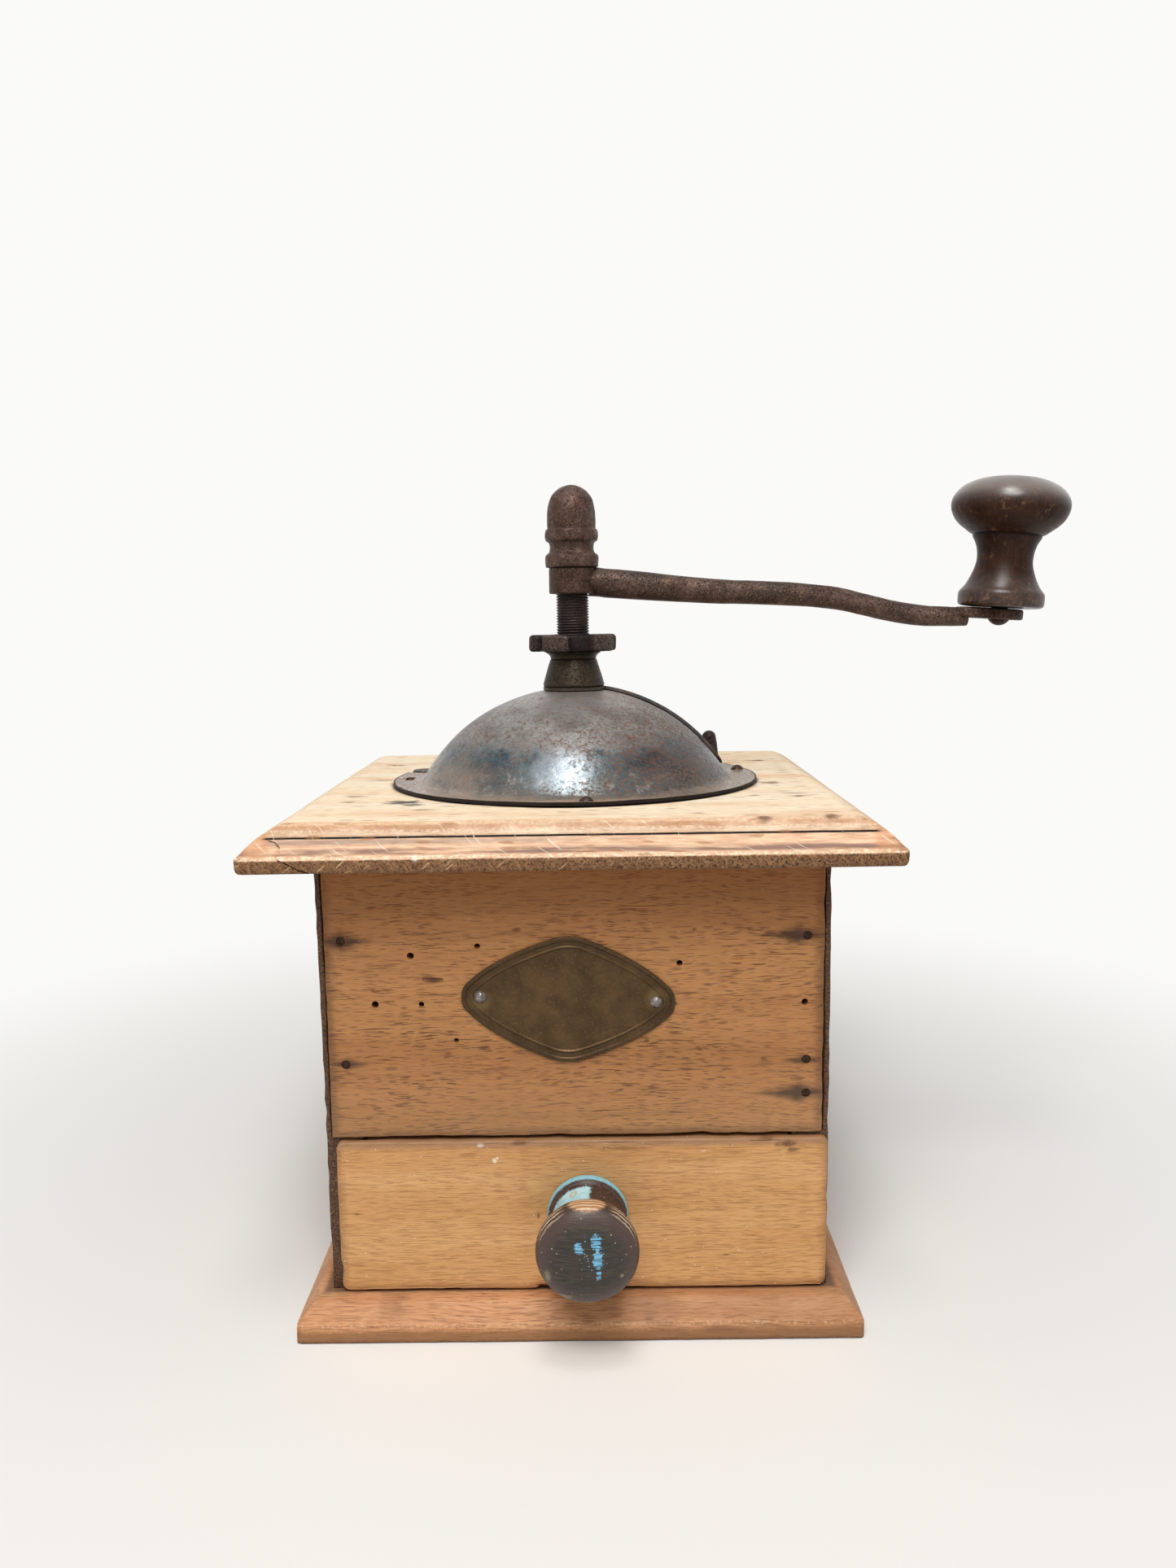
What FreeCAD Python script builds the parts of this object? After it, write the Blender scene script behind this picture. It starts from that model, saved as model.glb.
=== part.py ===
import FreeCAD, Part
import math
import os
import types

import Sketcher

# A wooden box coffee mill: drawer below, iron hopper and crank on top.
# Millimetres and degrees. Origin under the middle of the base, front towards -Y, crank towards +X.

sizes = {
    # base and case
    "base_reach_side": 8.5,
    "base_reach_front": 10.2,
    "base_edge": 4.7,
    "base_thick": 10.1,
    "base_bevel": 4.5,
    "case_width": 136.0,
    "case_depth": 132.6,
    "case_top": 130.5,
    "side_thick": 10.0,
    "lip_thick": 1.6,
    "panel_thick": 8.4,
    "panel_proud": 1.2,
    "panel_gap": 0.3,
    "panel_bottom": 54.4,
    # top board and its moulded edge
    "top_reach_side": 16.0,
    "top_reach_front": 17.7,
    "top_thick": 11.6,
    "top_lip": 3.9,
    "ledge_in": 1.4,
    "ledge_rise": 0.5,
    "step_in": 6.8,
    "step_low": 7.8,
    "step_rise": 0.7,
    "field_in": 10.8,
    "fall_in": 11.5,
    "throat_radius": 27.0,
    # nails of the case and the drawer
    "nail_radius": 0.75,
    "nail_head": 1.15,
    "nail_head_thick": 0.6,
    "nail_sink": 0.25,
    "nail_long": 22.0,
    "nail_inset": 6.5,
    "front_nail_top": 21.5,
    "front_nail_foot": 20.6,
    "front_nail_extra": 11.2,
    "back_nail_edge": 14.0,
    "top_nail_edge": 24.8,
    "base_nail_edge": 22.3,
    "brad_radius": 0.6,
    "brad_head": 0.95,
    "brad_long": 14.0,
    # badge
    "badge_half_wide": 28.3,
    "badge_half_tall": 17.1,
    "badge_thick": 0.8,
    "badge_rim": 1.3,
    "badge_sink": 0.35,
    "badge_shift": -1.7,
    "badge_tilt": 2.4,
    "badge_nail_edge": 5.0,
    "badge_nail_head": 1.75,
    "badge_nail_dome": 1.0,
    "badge_nail_long": 7.5,
    # drawer
    "front_inset": 1.7,
    "front_corner": 2.6,
    "front_lip": 2.2,
    "front_plug": 7.8,
    "front_shift": 1.2,
    "drawer_play": 0.8,
    "drawer_rise": 0.4,
    "drawer_gap": 1.0,
    "drawer_wall": 6.0,
    "drawer_tall": 33.5,
    "drawer_room": 9.6,
    "drawer_floor": 3.0,
    "knob_shift": 2.6,
    "pull_rise": 1.05,
    "pull_rear": 10.95,
    "pull_waist": 9.5,
    "pull_front": 13.3,
    "pull_long": 26.0,
    "pull_screw": 1.6,
    "pull_screw_grip": 11.0,
    # hopper
    "dome_sphere": 55.0,
    "dome_drop": 26.1,
    "dome_seat": 9.5,
    "dome_fillet": 3.0,
    "sheet_thick": 1.0,
    "flange_wide": 7.0,
    "flange_nail_out": 4.0,
    "flange_nail_radius": 1.2,
    "flange_nail_head": 2.1,
    "flange_nail_dome": 1.5,
    "flange_nail_long": 9.0,
    "slot_half_long": 2.6,
    "slot_radius": 1.3,
    "slot_out": 2.3,
    "slot_turn": -88.0,
    "notch_out": 0.5,
    "notch_start": 141.0,
    "notch_sweep": 25.0,
    "tack_out": 5.2,
    "tack_angle": 156.6,
    "tack_head": 4.4,
    "tack_thick": 1.1,
    "mouth_top": 17.0,
    "mouth_margin": 7.8,
    "mouth_start": 33.0,
    "mouth_sweep": 73.0,
    # shutter
    "shutter_gap": 0.3,
    "shutter_thick": 0.9,
    "shutter_margin": 0.7,
    "shutter_start": 4.0,
    "shutter_sweep": 114.0,
    "eye_play": 0.1,
    "stud_margin": 6.0,
    "stud_lean": -7.0,
    "stud_angle": 13.0,
    "stud_radius": 2.35,
    "stud_long": 6.0,
    "stud_tenon": 1.2,
    # boss
    "boss_foot": 9.4,
    "boss_top": 6.95,
    "boss_tall": 8.55,
    "boss_collar": 7.5,
    "boss_spigot": 6.2,
    "ring_radius": 9.2,
    "ring_tall": 3.0,
    # spindle and its nuts
    "run_play": 0.05,
    "shaft_radius": 5.05,
    "journal_radius": 4.0,
    "seat_radius": 4.4,
    "seat_top": 4.5,
    "washer_tall": 2.2,
    "washer_flare": 8.36,
    "washer_foot": 7.03,
    "washer_play": 0.1,
    "nut_tall": 5.1,
    "nut_radius": 13.7,
    "nut_notch": 11.0,
    "nut_edge": 0.7,
    "nut_lobe": 39.5,
    "nut_turn": -114.2,
    "thread_tall": 12.4,
    "square_side": 6.2,
    "stem_radius": 3.05,
    "stem_tall": 14.5,
    # crank
    "hub_radius": 7.15,
    "hub_tall": 8.0,
    "root_reach": 0.75,
    "root_drop": 4.4,
    "root_tall": 9.0,
    "neck_reach": 17.15,
    "neck_drop": 5.85,
    "neck_tall": 8.7,
    "waist_reach": 41.15,
    "waist_drop": 7.9,
    "waist_tall": 7.4,
    "shin_reach": 65.15,
    "shin_drop": 9.15,
    "shin_tall": 7.0,
    "bend_reach": 79.15,
    "bend_drop": 11.05,
    "bend_tall": 6.9,
    "fall_reach": 91.15,
    "fall_drop": 14.05,
    "fall_tall": 6.75,
    "foot_reach": 103.15,
    "foot_drop": 16.1,
    "foot_tall": 6.3,
    "tip_reach": 116.65,
    "tip_drop": 16.7,
    "tip_tall": 5.6,
    "arm_round": 0.95,
    "throw": 132.0,
    "tab_drop": 14.4,
    "tab_tilt": 4.2,
    "tab_thick": 3.2,
    "tab_half_wide": 6.5,
    "tab_end": 7.2,
    "tab_tail": 13.0,
    "acorn_tall": 25.0,
    "acorn_ring": 8.1,
    "acorn_neck": 6.75,
    "acorn_body": 7.5,
    # crank knob and its pin
    "knob_lift": 0.3,
    "knob_tall": 39.4,
    "knob_foot": 12.75,
    "knob_neck": 8.2,
    "knob_head": 17.4,
    "pin_radius": 2.5,
    "pin_play": 0.08,
    "pin_head": 4.4,
    "pin_head_thick": 1.4,
    "pin_sink": 2.2,
    "peen_radius": 3.2,
    "peen_tall": 1.9,
    # burrs and lower bearing
    "burr_wall": 4.0,
    "burr_flange_wide": 7.0,
    "burr_flange_thick": 3.8,
    "burr_foot": 27.0,
    "burr_tall": 29.5,
    "burr_throat": 14.9,
    "burr_mouth": 18.3,
    "burr_bite": 12.0,
    "burr_gap": 0.7,
    "cone_crown": 8.0,
    "cone_skirt": 1.0,
    "flute_radius": 0.95,
    "outer_flutes": 20,
    "inner_flutes": 16,
    "cross_pin_radius": 1.25,
    "cross_pin_half": 8.6,
    "cross_pin_drop": 4.0,
    "screw_radius": 1.8,
    "screw_head": 3.1,
    "screw_dome": 2.0,
    "screw_grip": 7.0,
    "bridge_half_long": 26.0,
    "bridge_half_wide": 6.0,
    "bridge_thick": 4.0,
    "bridge_drop": 11.0,
    "bridge_leg": 7.0,
    "bearing_radius": 8.0,
    "bearing_below": 3.0,
    "bearing_above": 2.0,
    "fit": 0.05,
}


class Size:
    """A number of the model, with the sheet formula that gives it."""

    def __init__(self, number, formula):
        self.number = number
        self.formula = formula

    def __add__(self, other):
        other = as_size(other)
        return Size(self.number + other.number, f"({self.formula} + {other.formula})")

    def __sub__(self, other):
        other = as_size(other)
        return Size(self.number - other.number, f"({self.formula} - {other.formula})")

    def __mul__(self, other):
        other = as_size(other)
        return Size(self.number * other.number, f"({self.formula} * {other.formula})")

    def __truediv__(self, other):
        other = as_size(other)
        return Size(self.number / other.number, f"({self.formula} / {other.formula})")

    def __neg__(self):
        return Size(-self.number, f"(0 - {self.formula})")

    def __radd__(self, other):
        return as_size(other) + self

    def __rsub__(self, other):
        return as_size(other) - self

    def __rmul__(self, other):
        return as_size(other) * self


def as_size(amount):
    if isinstance(amount, Size):
        return amount
    return Size(float(amount), f"({float(amount)})")


def root(amount):
    return Size(math.sqrt(amount.number), f"sqrt({amount.formula})")


def sine(angle):
    angle = as_size(angle)
    return Size(math.sin(math.radians(angle.number)), f"sin({angle.formula} * 1deg)")


def cosine(angle):
    angle = as_size(angle)
    return Size(math.cos(math.radians(angle.number)), f"cos({angle.formula} * 1deg)")


def arcsine(share):
    return Size(math.degrees(math.asin(share.number)), f"(asin({share.formula}) / 1deg)")


doc = FreeCAD.newDocument("CoffeeMill")
sheet = doc.addObject("Spreadsheet::Sheet", "Size")
for row, (alias, number) in enumerate(sizes.items(), start=1):
    sheet.set(f"A{row}", alias)
    sheet.set(f"B{row}", str(number))
    sheet.setAlias(f"B{row}", alias)
doc.recompute()
size = types.SimpleNamespace(**{alias: Size(number, "Size." + alias) for alias, number in sizes.items()})

nodes = []


def keep(item, label):
    """Make an object of the document one of the mill's pieces."""
    item.Label = label
    nodes.append(item)
    return item


# Turns that point a piece's own +Z in the named direction
turns = {
    "up": FreeCAD.Rotation(),
    "down": FreeCAD.Rotation(FreeCAD.Vector(1, 0, 0), 180),
    "front": FreeCAD.Rotation(FreeCAD.Vector(1, 0, 0), 90),
    "back": FreeCAD.Rotation(FreeCAD.Vector(1, 0, 0), -90),
    "left": FreeCAD.Rotation(FreeCAD.Vector(0, 1, 0), -90),
    "right": FreeCAD.Rotation(FreeCAD.Vector(0, 1, 0), 90),
}


def place(item, at=(0, 0, 0), turn=turns["up"]):
    """Set where a piece stands; its position follows the sheet."""
    item.Placement = FreeCAD.Placement(FreeCAD.Vector(*[as_size(amount).number for amount in at]), turn)
    for axis, amount in zip("xyz", at):
        item.setExpression(f"Placement.Base.{axis}", as_size(amount).formula)
    return item


def block(name, low, high):
    """A box between two corners."""
    item = doc.addObject("Part::Box", name)
    for side, start, end in zip(("Length", "Width", "Height"), low, high):
        item.setExpression(side, (end - start).formula)
    return place(item, low)


def rod(name, radius, long, at, turn=turns["up"]):
    """A cylinder that starts at a point and runs along the turned +Z."""
    item = doc.addObject("Part::Cylinder", name)
    item.setExpression("Radius", radius.formula)
    item.setExpression("Height", long.formula)
    return place(item, at, turn)


def crown(x, y):
    """A point that bends the edge between its neighbours into an arc."""
    return (x, y, "crown")


def cap(radius, base, rise):
    """The round end of a turned piece: an arc from its rim that meets the axis square on."""
    chord = root(radius * radius + rise * rise)
    sphere = chord * chord / (rise * 2)
    return [crown(chord / 2, base + rise - sphere * (1 - radius / chord)), (0, base + rise)]


def pin_point(sketch, geometry, position, x, y):
    for kind, axis, amount in (("DistanceX", -2, as_size(x)), ("DistanceY", -1, as_size(y))):
        if amount.number == 0:
            sketch.addConstraint(Sketcher.Constraint("PointOnObject", geometry, position, axis))
        else:
            constraint = Sketcher.Constraint(kind, -1, 1, geometry, position, amount.number)
            index = sketch.addConstraint(constraint)
            sketch.setExpression(f"Constraints[{index}]", amount.formula)


def arc_through(first, middle, last):
    """An arc in the sketch's own turning direction, and whether it runs from last to first."""
    circle = Part.Arc(first, middle, last).toShape().Curve
    angles = [math.atan2(p.y - circle.Center.y, p.x - circle.Center.x) for p in (first, middle, last)]
    to_middle = (angles[1] - angles[0]) % (2 * math.pi)
    to_last = (angles[2] - angles[0]) % (2 * math.pi)
    flat = Part.Circle(circle.Center, FreeCAD.Vector(0, 0, 1), circle.Radius)
    if to_middle < to_last:
        return Part.ArcOfCircle(flat, angles[0], angles[0] + to_last), False
    return Part.ArcOfCircle(flat, angles[2], angles[2] + 2 * math.pi - to_last), True


def outline(body, name, plane, points, lift=None):
    """A closed sketch through the points, held by the sheet, on one of the body's own planes."""
    sketch = body.newObject("Sketcher::SketchObject", name)
    face = next(item for item in body.Origin.OriginFeatures if item.Role == plane)
    sketch.AttachmentSupport = [(face, "")]
    sketch.MapMode = "FlatFace"
    if lift is not None:
        sketch.setExpression("AttachmentOffset.Base.z", as_size(lift).formula)
    corners = [point for point in points if len(point) == 2]
    spots = {id(p): FreeCAD.Vector(as_size(p[0]).number, as_size(p[1]).number, 0) for p in points}
    edges = []
    for index, corner in enumerate(points):
        if len(corner) == 3:
            continue
        after = points[(index + 1) % len(points)]
        following = points[(index + 2) % len(points)] if len(after) == 3 else after
        start, end = spots[id(corner)], spots[id(following)]
        if len(after) == 3:
            arc, backwards = arc_through(start, spots[id(after)], end)
            number = sketch.addGeometry(arc, False)
            edges.append((number, 2, 1) if backwards else (number, 1, 2))
            guide = sketch.addGeometry(Part.Point(spots[id(after)]), True)
            sketch.addConstraint(Sketcher.Constraint("PointOnObject", guide, 1, number))
            pin_point(sketch, guide, 1, after[0], after[1])
        else:
            edges.append((sketch.addGeometry(Part.LineSegment(start, end), False), 1, 2))
    for index, edge in enumerate(edges):
        following = edges[(index + 1) % len(edges)]
        sketch.addConstraint(Sketcher.Constraint("Coincident", edge[0], edge[2], following[0], following[1]))
    for edge, corner in zip(edges, corners):
        pin_point(sketch, edge[0], edge[1], corner[0], corner[1])
    return sketch


def lathe(name, points, sweep=None):
    """A turned piece: an outline of radius and height, spun about Z."""
    body = doc.addObject("PartDesign::Body", name)
    sketch = outline(body, name + "_outline", "XZ_Plane", points)
    spin(body, name + "_spin", sketch, sweep)
    return body


def spin(body, name, sketch, sweep=None):
    feature = body.newObject("PartDesign::Revolution", name)
    feature.Profile = sketch
    feature.ReferenceAxis = (sketch, ["V_Axis"])
    feature.Angle = 360
    if sweep is not None:
        feature.setExpression("Angle", sweep.formula)
    return feature


def slab(name, plane, points, thick, lift=None):
    """An outline given a thickness."""
    body = doc.addObject("PartDesign::Body", name)
    thicken(body, name + "_pad", outline(body, name + "_outline", plane, points, lift), thick)
    return body


def thicken(body, name, sketch, thick):
    feature = body.newObject("PartDesign::Pad", name)
    feature.Profile = sketch
    feature.setExpression("Length", thick.formula)
    return feature


def rectangle(half_x, half_y):
    return [(-half_x, -half_y), (half_x, -half_y), (half_x, half_y), (-half_x, half_y)]


def rounded(low, high, corner):
    """The outline of a rectangle with round corners."""
    (x0, y0), (x1, y1) = low, high
    bite = corner * (1 - math.sqrt(0.5))
    return [
        (x0 + corner, y0), (x1 - corner, y0), crown(x1 - bite, y0 + bite),
        (x1, y0 + corner), (x1, y1 - corner), crown(x1 - bite, y1 - bite),
        (x1 - corner, y1), (x0 + corner, y1), crown(x0 + bite, y1 - bite),
        (x0, y1 - corner), (x0, y0 + corner), crown(x0 + bite, y0 + bite),
    ]


def gather(name, items):
    item = doc.addObject("Part::Compound", name)
    item.Links = items
    return item


def cut(name, base, tools):
    item = doc.addObject("Part::Cut", name)
    item.Base = base
    item.Tool = tools[0] if len(tools) == 1 else gather(name + "_tools", tools)
    return item


def join(name, items):
    item = doc.addObject("Part::MultiFuse", name)
    item.Shapes = items
    return item


def copies(name, master, places):
    """One piece set down at several places, each a point and a turn."""
    links = []
    for index, (at, turn) in enumerate(places):
        link = doc.addObject("App::Link", f"{name}_{index}")
        link.LinkedObject = master
        links.append(place(link, at, turn))
    return gather(name, links)


def around(radius, angle, high):
    """A point on a ring about the spindle."""
    return (radius * cosine(angle), radius * sine(angle), high)


def flat_nail(name, radius, head, long):
    """A nail with its flat head sunk under the surface at z = 0, and the hole that it fills."""
    under = -(size.nail_sink + size.nail_head_thick)
    nail = lathe(name, [(0, -size.nail_sink), (head, -size.nail_sink), (head, under), (radius, under),
                        (radius, -long), (0, -long)])
    wide, narrow = head + size.fit, radius + size.fit
    hole = lathe(name + "_hole", [(0, size.nail_head_thick), (wide, size.nail_head_thick), (wide, under),
                                  (narrow, under), (narrow, -long), (0, -long)])
    return nail, hole


def domed_pin(name, radius, head, dome, long):
    """A round-headed nail or screw that stands on the surface at z = 0, and the hole for its shank."""
    pin = lathe(name, [(0, -long), (radius, -long), (radius, 0), (head, 0), *cap(head, as_size(0), dome)])
    narrow = radius + size.fit
    hole = lathe(name + "_hole", [(0, dome), (narrow, dome), (narrow, -long), (0, -long)])
    return pin, hole


def fasteners(label, pair, places):
    """A group of like fasteners as one piece, and the holes that they need."""
    keep(copies(label + "_group", pair[0], places), label)
    return copies(label + "_holes", pair[1], places)


# Levels and faces that several pieces share
half_width = size.case_width / 2
half_depth = size.case_depth / 2
inner_face = half_width - size.side_thick
seat_depth = size.panel_thick - size.panel_proud
panel_face = half_depth + size.panel_proud
panel_back = half_depth - seat_depth
panel_half = half_width - size.lip_thick - size.panel_gap
field = size.case_top + size.top_thick
dome_centre = field - size.dome_drop
flange_top = field + size.sheet_thick
fillet_level = flange_top + size.dome_fillet
fillet_rise = fillet_level - dome_centre
fillet_reach = size.dome_sphere + size.dome_fillet
fillet_ring = root(fillet_reach * fillet_reach - fillet_rise * fillet_rise)
dome_brim = arcsine(fillet_ring / fillet_reach)
flange_radius = fillet_ring + size.flange_wide
flange_nail_ring = fillet_ring + size.flange_nail_out
seat_level = dome_centre + root(size.dome_sphere * size.dome_sphere - size.dome_seat * size.dome_seat)
shutter_sphere = size.dome_sphere + size.shutter_gap
eye_level = seat_level + size.shutter_gap
eye_top = eye_level + size.shutter_thick
boss_base = eye_top + size.eye_play
boss_head = boss_base + size.boss_tall
nut_base = boss_head + size.washer_tall + size.washer_play
nut_top = nut_base + size.nut_tall
hub_base = nut_top + size.thread_tall
hub_top = hub_base + size.hub_tall
badge_level = (size.panel_bottom + size.case_top) / 2
burr_body = size.throat_radius + size.burr_wall
burr_base = size.case_top - size.burr_tall
cone_base = burr_base - size.cone_skirt
cone_top = size.case_top - size.seat_top
bridge_top = burr_base - size.bridge_drop + size.bridge_thick
bridge_base = burr_base - size.bridge_drop


def build_base():
    wide, deep = half_width + size.base_reach_side, half_depth + size.base_reach_front
    body = slab("base_blank", "XY_Plane", rectangle(wide, deep), size.base_edge)
    lower = outline(body, "bevel_foot", "XY_Plane", rectangle(wide, deep), size.base_edge)
    upper = outline(body, "bevel_head", "XY_Plane",
                    rectangle(wide - size.base_bevel, deep - size.base_bevel), size.base_thick)
    bevel = body.newObject("PartDesign::AdditiveLoft", "bevel")
    bevel.Profile = lower
    bevel.Sections = [upper]
    bevel.Ruled = True
    return body


def edged_slab(name, plane, right, half_long):
    """A long bar with the same edge on both sides, drawn for the right one."""
    left = [(-point[0], *point[1:]) for point in reversed(right)]
    return slab(name, plane, right + left, half_long * 2, -half_long)


def moulded_slab(name, plane, half, half_long):
    """A long bar with the top board's moulding on both sides."""
    low = size.case_top
    return edged_slab(name, plane, [
        (half, low), (half, low + size.top_lip),
        (half - size.ledge_in, low + size.top_lip + size.ledge_rise),
        crown(half - size.step_in * 0.6, low + size.step_low * 0.71),
        (half - size.step_in, low + size.step_low),
        (half - size.step_in, low + size.step_low + size.step_rise),
        crown(half - size.step_in * 1.22, field - size.step_rise * 1.25), (half - size.field_in, field),
    ], half_long)


def rounded_slab(name, plane, half, half_long):
    """A long bar with the plain rounded fall of the top board's ends."""
    low, lip = size.case_top, size.case_top + size.top_lip
    return edged_slab(name, plane, [
        (half, low), (half, lip), crown(half - size.fall_in * 0.44, lip + (field - lip) * 0.63),
        (half - size.fall_in, field),
    ], half_long)


def build_top():
    half_x, half_y = half_width + size.top_reach_side, half_depth + size.top_reach_front
    across = rounded_slab("top_across", "XZ_Plane", half_x, half_y)
    along = moulded_slab("top_along", "YZ_Plane", half_y, half_x)
    blank = doc.addObject("Part::Common", "top_blank")
    blank.Base = across
    blank.Tool = along
    throat = rod("throat", size.throat_radius, size.top_thick * 2, (0, 0, size.case_top - size.top_lip))
    return blank, throat


def build_side(name, sign):
    """A side board with a rebate for each panel; sign is the side of the case that it is on."""
    outer, inner = sign * half_width, sign * inner_face
    lip = sign * (half_width - size.lip_thick)
    left, right = (outer, inner) if sign < 0 else (inner, outer)
    board = block(name + "_board", (left, -half_depth, size.base_thick), (right, half_depth, size.case_top))
    past = sign * size.fit
    near, far = (lip, inner - past) if sign < 0 else (inner - past, lip)
    front = block(name + "_front_rebate", (near, -half_depth - size.fit, size.panel_bottom),
                  (far, -panel_back, size.case_top + size.fit))
    back = block(name + "_back_rebate", (near, panel_back, size.base_thick - size.fit),
                 (far, half_depth + size.fit, size.case_top + size.fit))
    return cut(name + "_blank", board, [front, back])


def on_badge(across, up):
    """Where a point of the badge lies on the panel, since the badge hangs a little askew."""
    lean, level = sine(size.badge_tilt), cosine(size.badge_tilt)
    return (size.badge_shift + across * level + up * lean, badge_level + up * level - across * lean)


def badge_outline(inset):
    """A lozenge with round corners and bowed sides, drawn in from the badge's edge."""
    wide, tall = size.badge_half_wide - inset, size.badge_half_tall - inset
    end_x, end_y = wide * 0.925, tall * 0.26
    bow_x, bow_y = wide * 0.63, tall * 0.615
    cap_x, cap_y = wide * 0.2, tall * 0.935
    shape = [
        (end_x, -end_y), crown(wide, 0), (end_x, end_y), crown(bow_x, bow_y),
        (cap_x, cap_y), crown(0, tall), (-cap_x, cap_y), crown(-bow_x, bow_y),
        (-end_x, end_y), crown(-wide, 0), (-end_x, -end_y), crown(-bow_x, -bow_y),
        (-cap_x, -cap_y), crown(0, -tall), (cap_x, -cap_y), crown(bow_x, -bow_y),
    ]
    return [(*on_badge(point[0], point[1]), *point[2:]) for point in shape]


def build_badge():
    plate = slab("badge_blank", "XZ_Plane", badge_outline(as_size(0)), size.badge_thick, panel_face)
    hollow = slab("badge_hollow", "XZ_Plane", badge_outline(size.badge_rim), size.badge_thick,
                  panel_face + size.badge_thick - size.badge_sink)
    return cut("badge_plain", plate, [hollow])


def build_case():
    base = build_base()
    sides = {"left_side": build_side("left_side", -1), "right_side": build_side("right_side", 1)}
    front = block("front_blank", (-panel_half, -panel_face, size.panel_bottom),
                  (panel_half, -panel_back, size.case_top))
    back = block("back_blank", (-panel_half, panel_back, size.base_thick),
                 (panel_half, panel_face, size.case_top))
    top, throat = build_top()

    nail = flat_nail("case_nail", size.nail_radius, size.nail_head, size.nail_long)
    nail_x = half_width - size.nail_inset
    board_x = half_width - size.side_thick / 2
    high = size.case_top - size.front_nail_top
    middle = size.panel_bottom + size.front_nail_foot
    low = size.panel_bottom + size.front_nail_extra
    heights = [(-1, high), (-1, middle), (1, high), (1, middle), (1, low)]
    front_holes = fasteners("front_panel_nails", nail, [
        ((sign * nail_x, -panel_face, z), turns["front"]) for sign, z in heights])
    back_low, back_high = size.base_thick + size.back_nail_edge, size.case_top - size.back_nail_edge
    back_heights = (back_low, (back_low + back_high) / 2, back_high)
    back_holes = fasteners("back_panel_nails", nail, [
        ((sign * nail_x, panel_face, z), turns["back"])
        for sign in (-1, 1) for z in back_heights])
    top_holes = fasteners("top_nails", nail, [
        ((sign * board_x, end * (half_depth - size.top_nail_edge), field), turns["up"])
        for sign in (-1, 1) for end in (-1, 1)])
    base_holes = fasteners("base_nails", nail, [
        ((sign * board_x, end * (half_depth - size.base_nail_edge), 0), turns["down"])
        for sign in (-1, 1) for end in (-1, 1)])

    badge_face = panel_face + size.badge_thick - size.badge_sink
    badge_pin = domed_pin("badge_pin", size.brad_radius, size.badge_nail_head, size.badge_nail_dome,
                          size.badge_nail_long)
    badge_reach = size.badge_half_wide - size.badge_nail_edge
    badge_spots = [on_badge(sign * badge_reach, 0) for sign in (-1, 1)]
    badge_holes = fasteners("badge_nails", badge_pin, [
        ((across, -badge_face, level), turns["front"]) for across, level in badge_spots])

    keep(cut("base_cut", base, [base_holes]), "base_plate")
    for label, board in sides.items():
        keep(cut(label + "_cut", board, [front_holes, back_holes, top_holes, base_holes]), label)
    keep(cut("front_cut", front, [front_holes, badge_holes]), "front_panel")
    keep(cut("back_cut", back, [back_holes]), "back_panel")
    keep(cut("badge_cut", build_badge(), [badge_holes]), "badge_plate")
    return top, [throat, top_holes]


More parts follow.
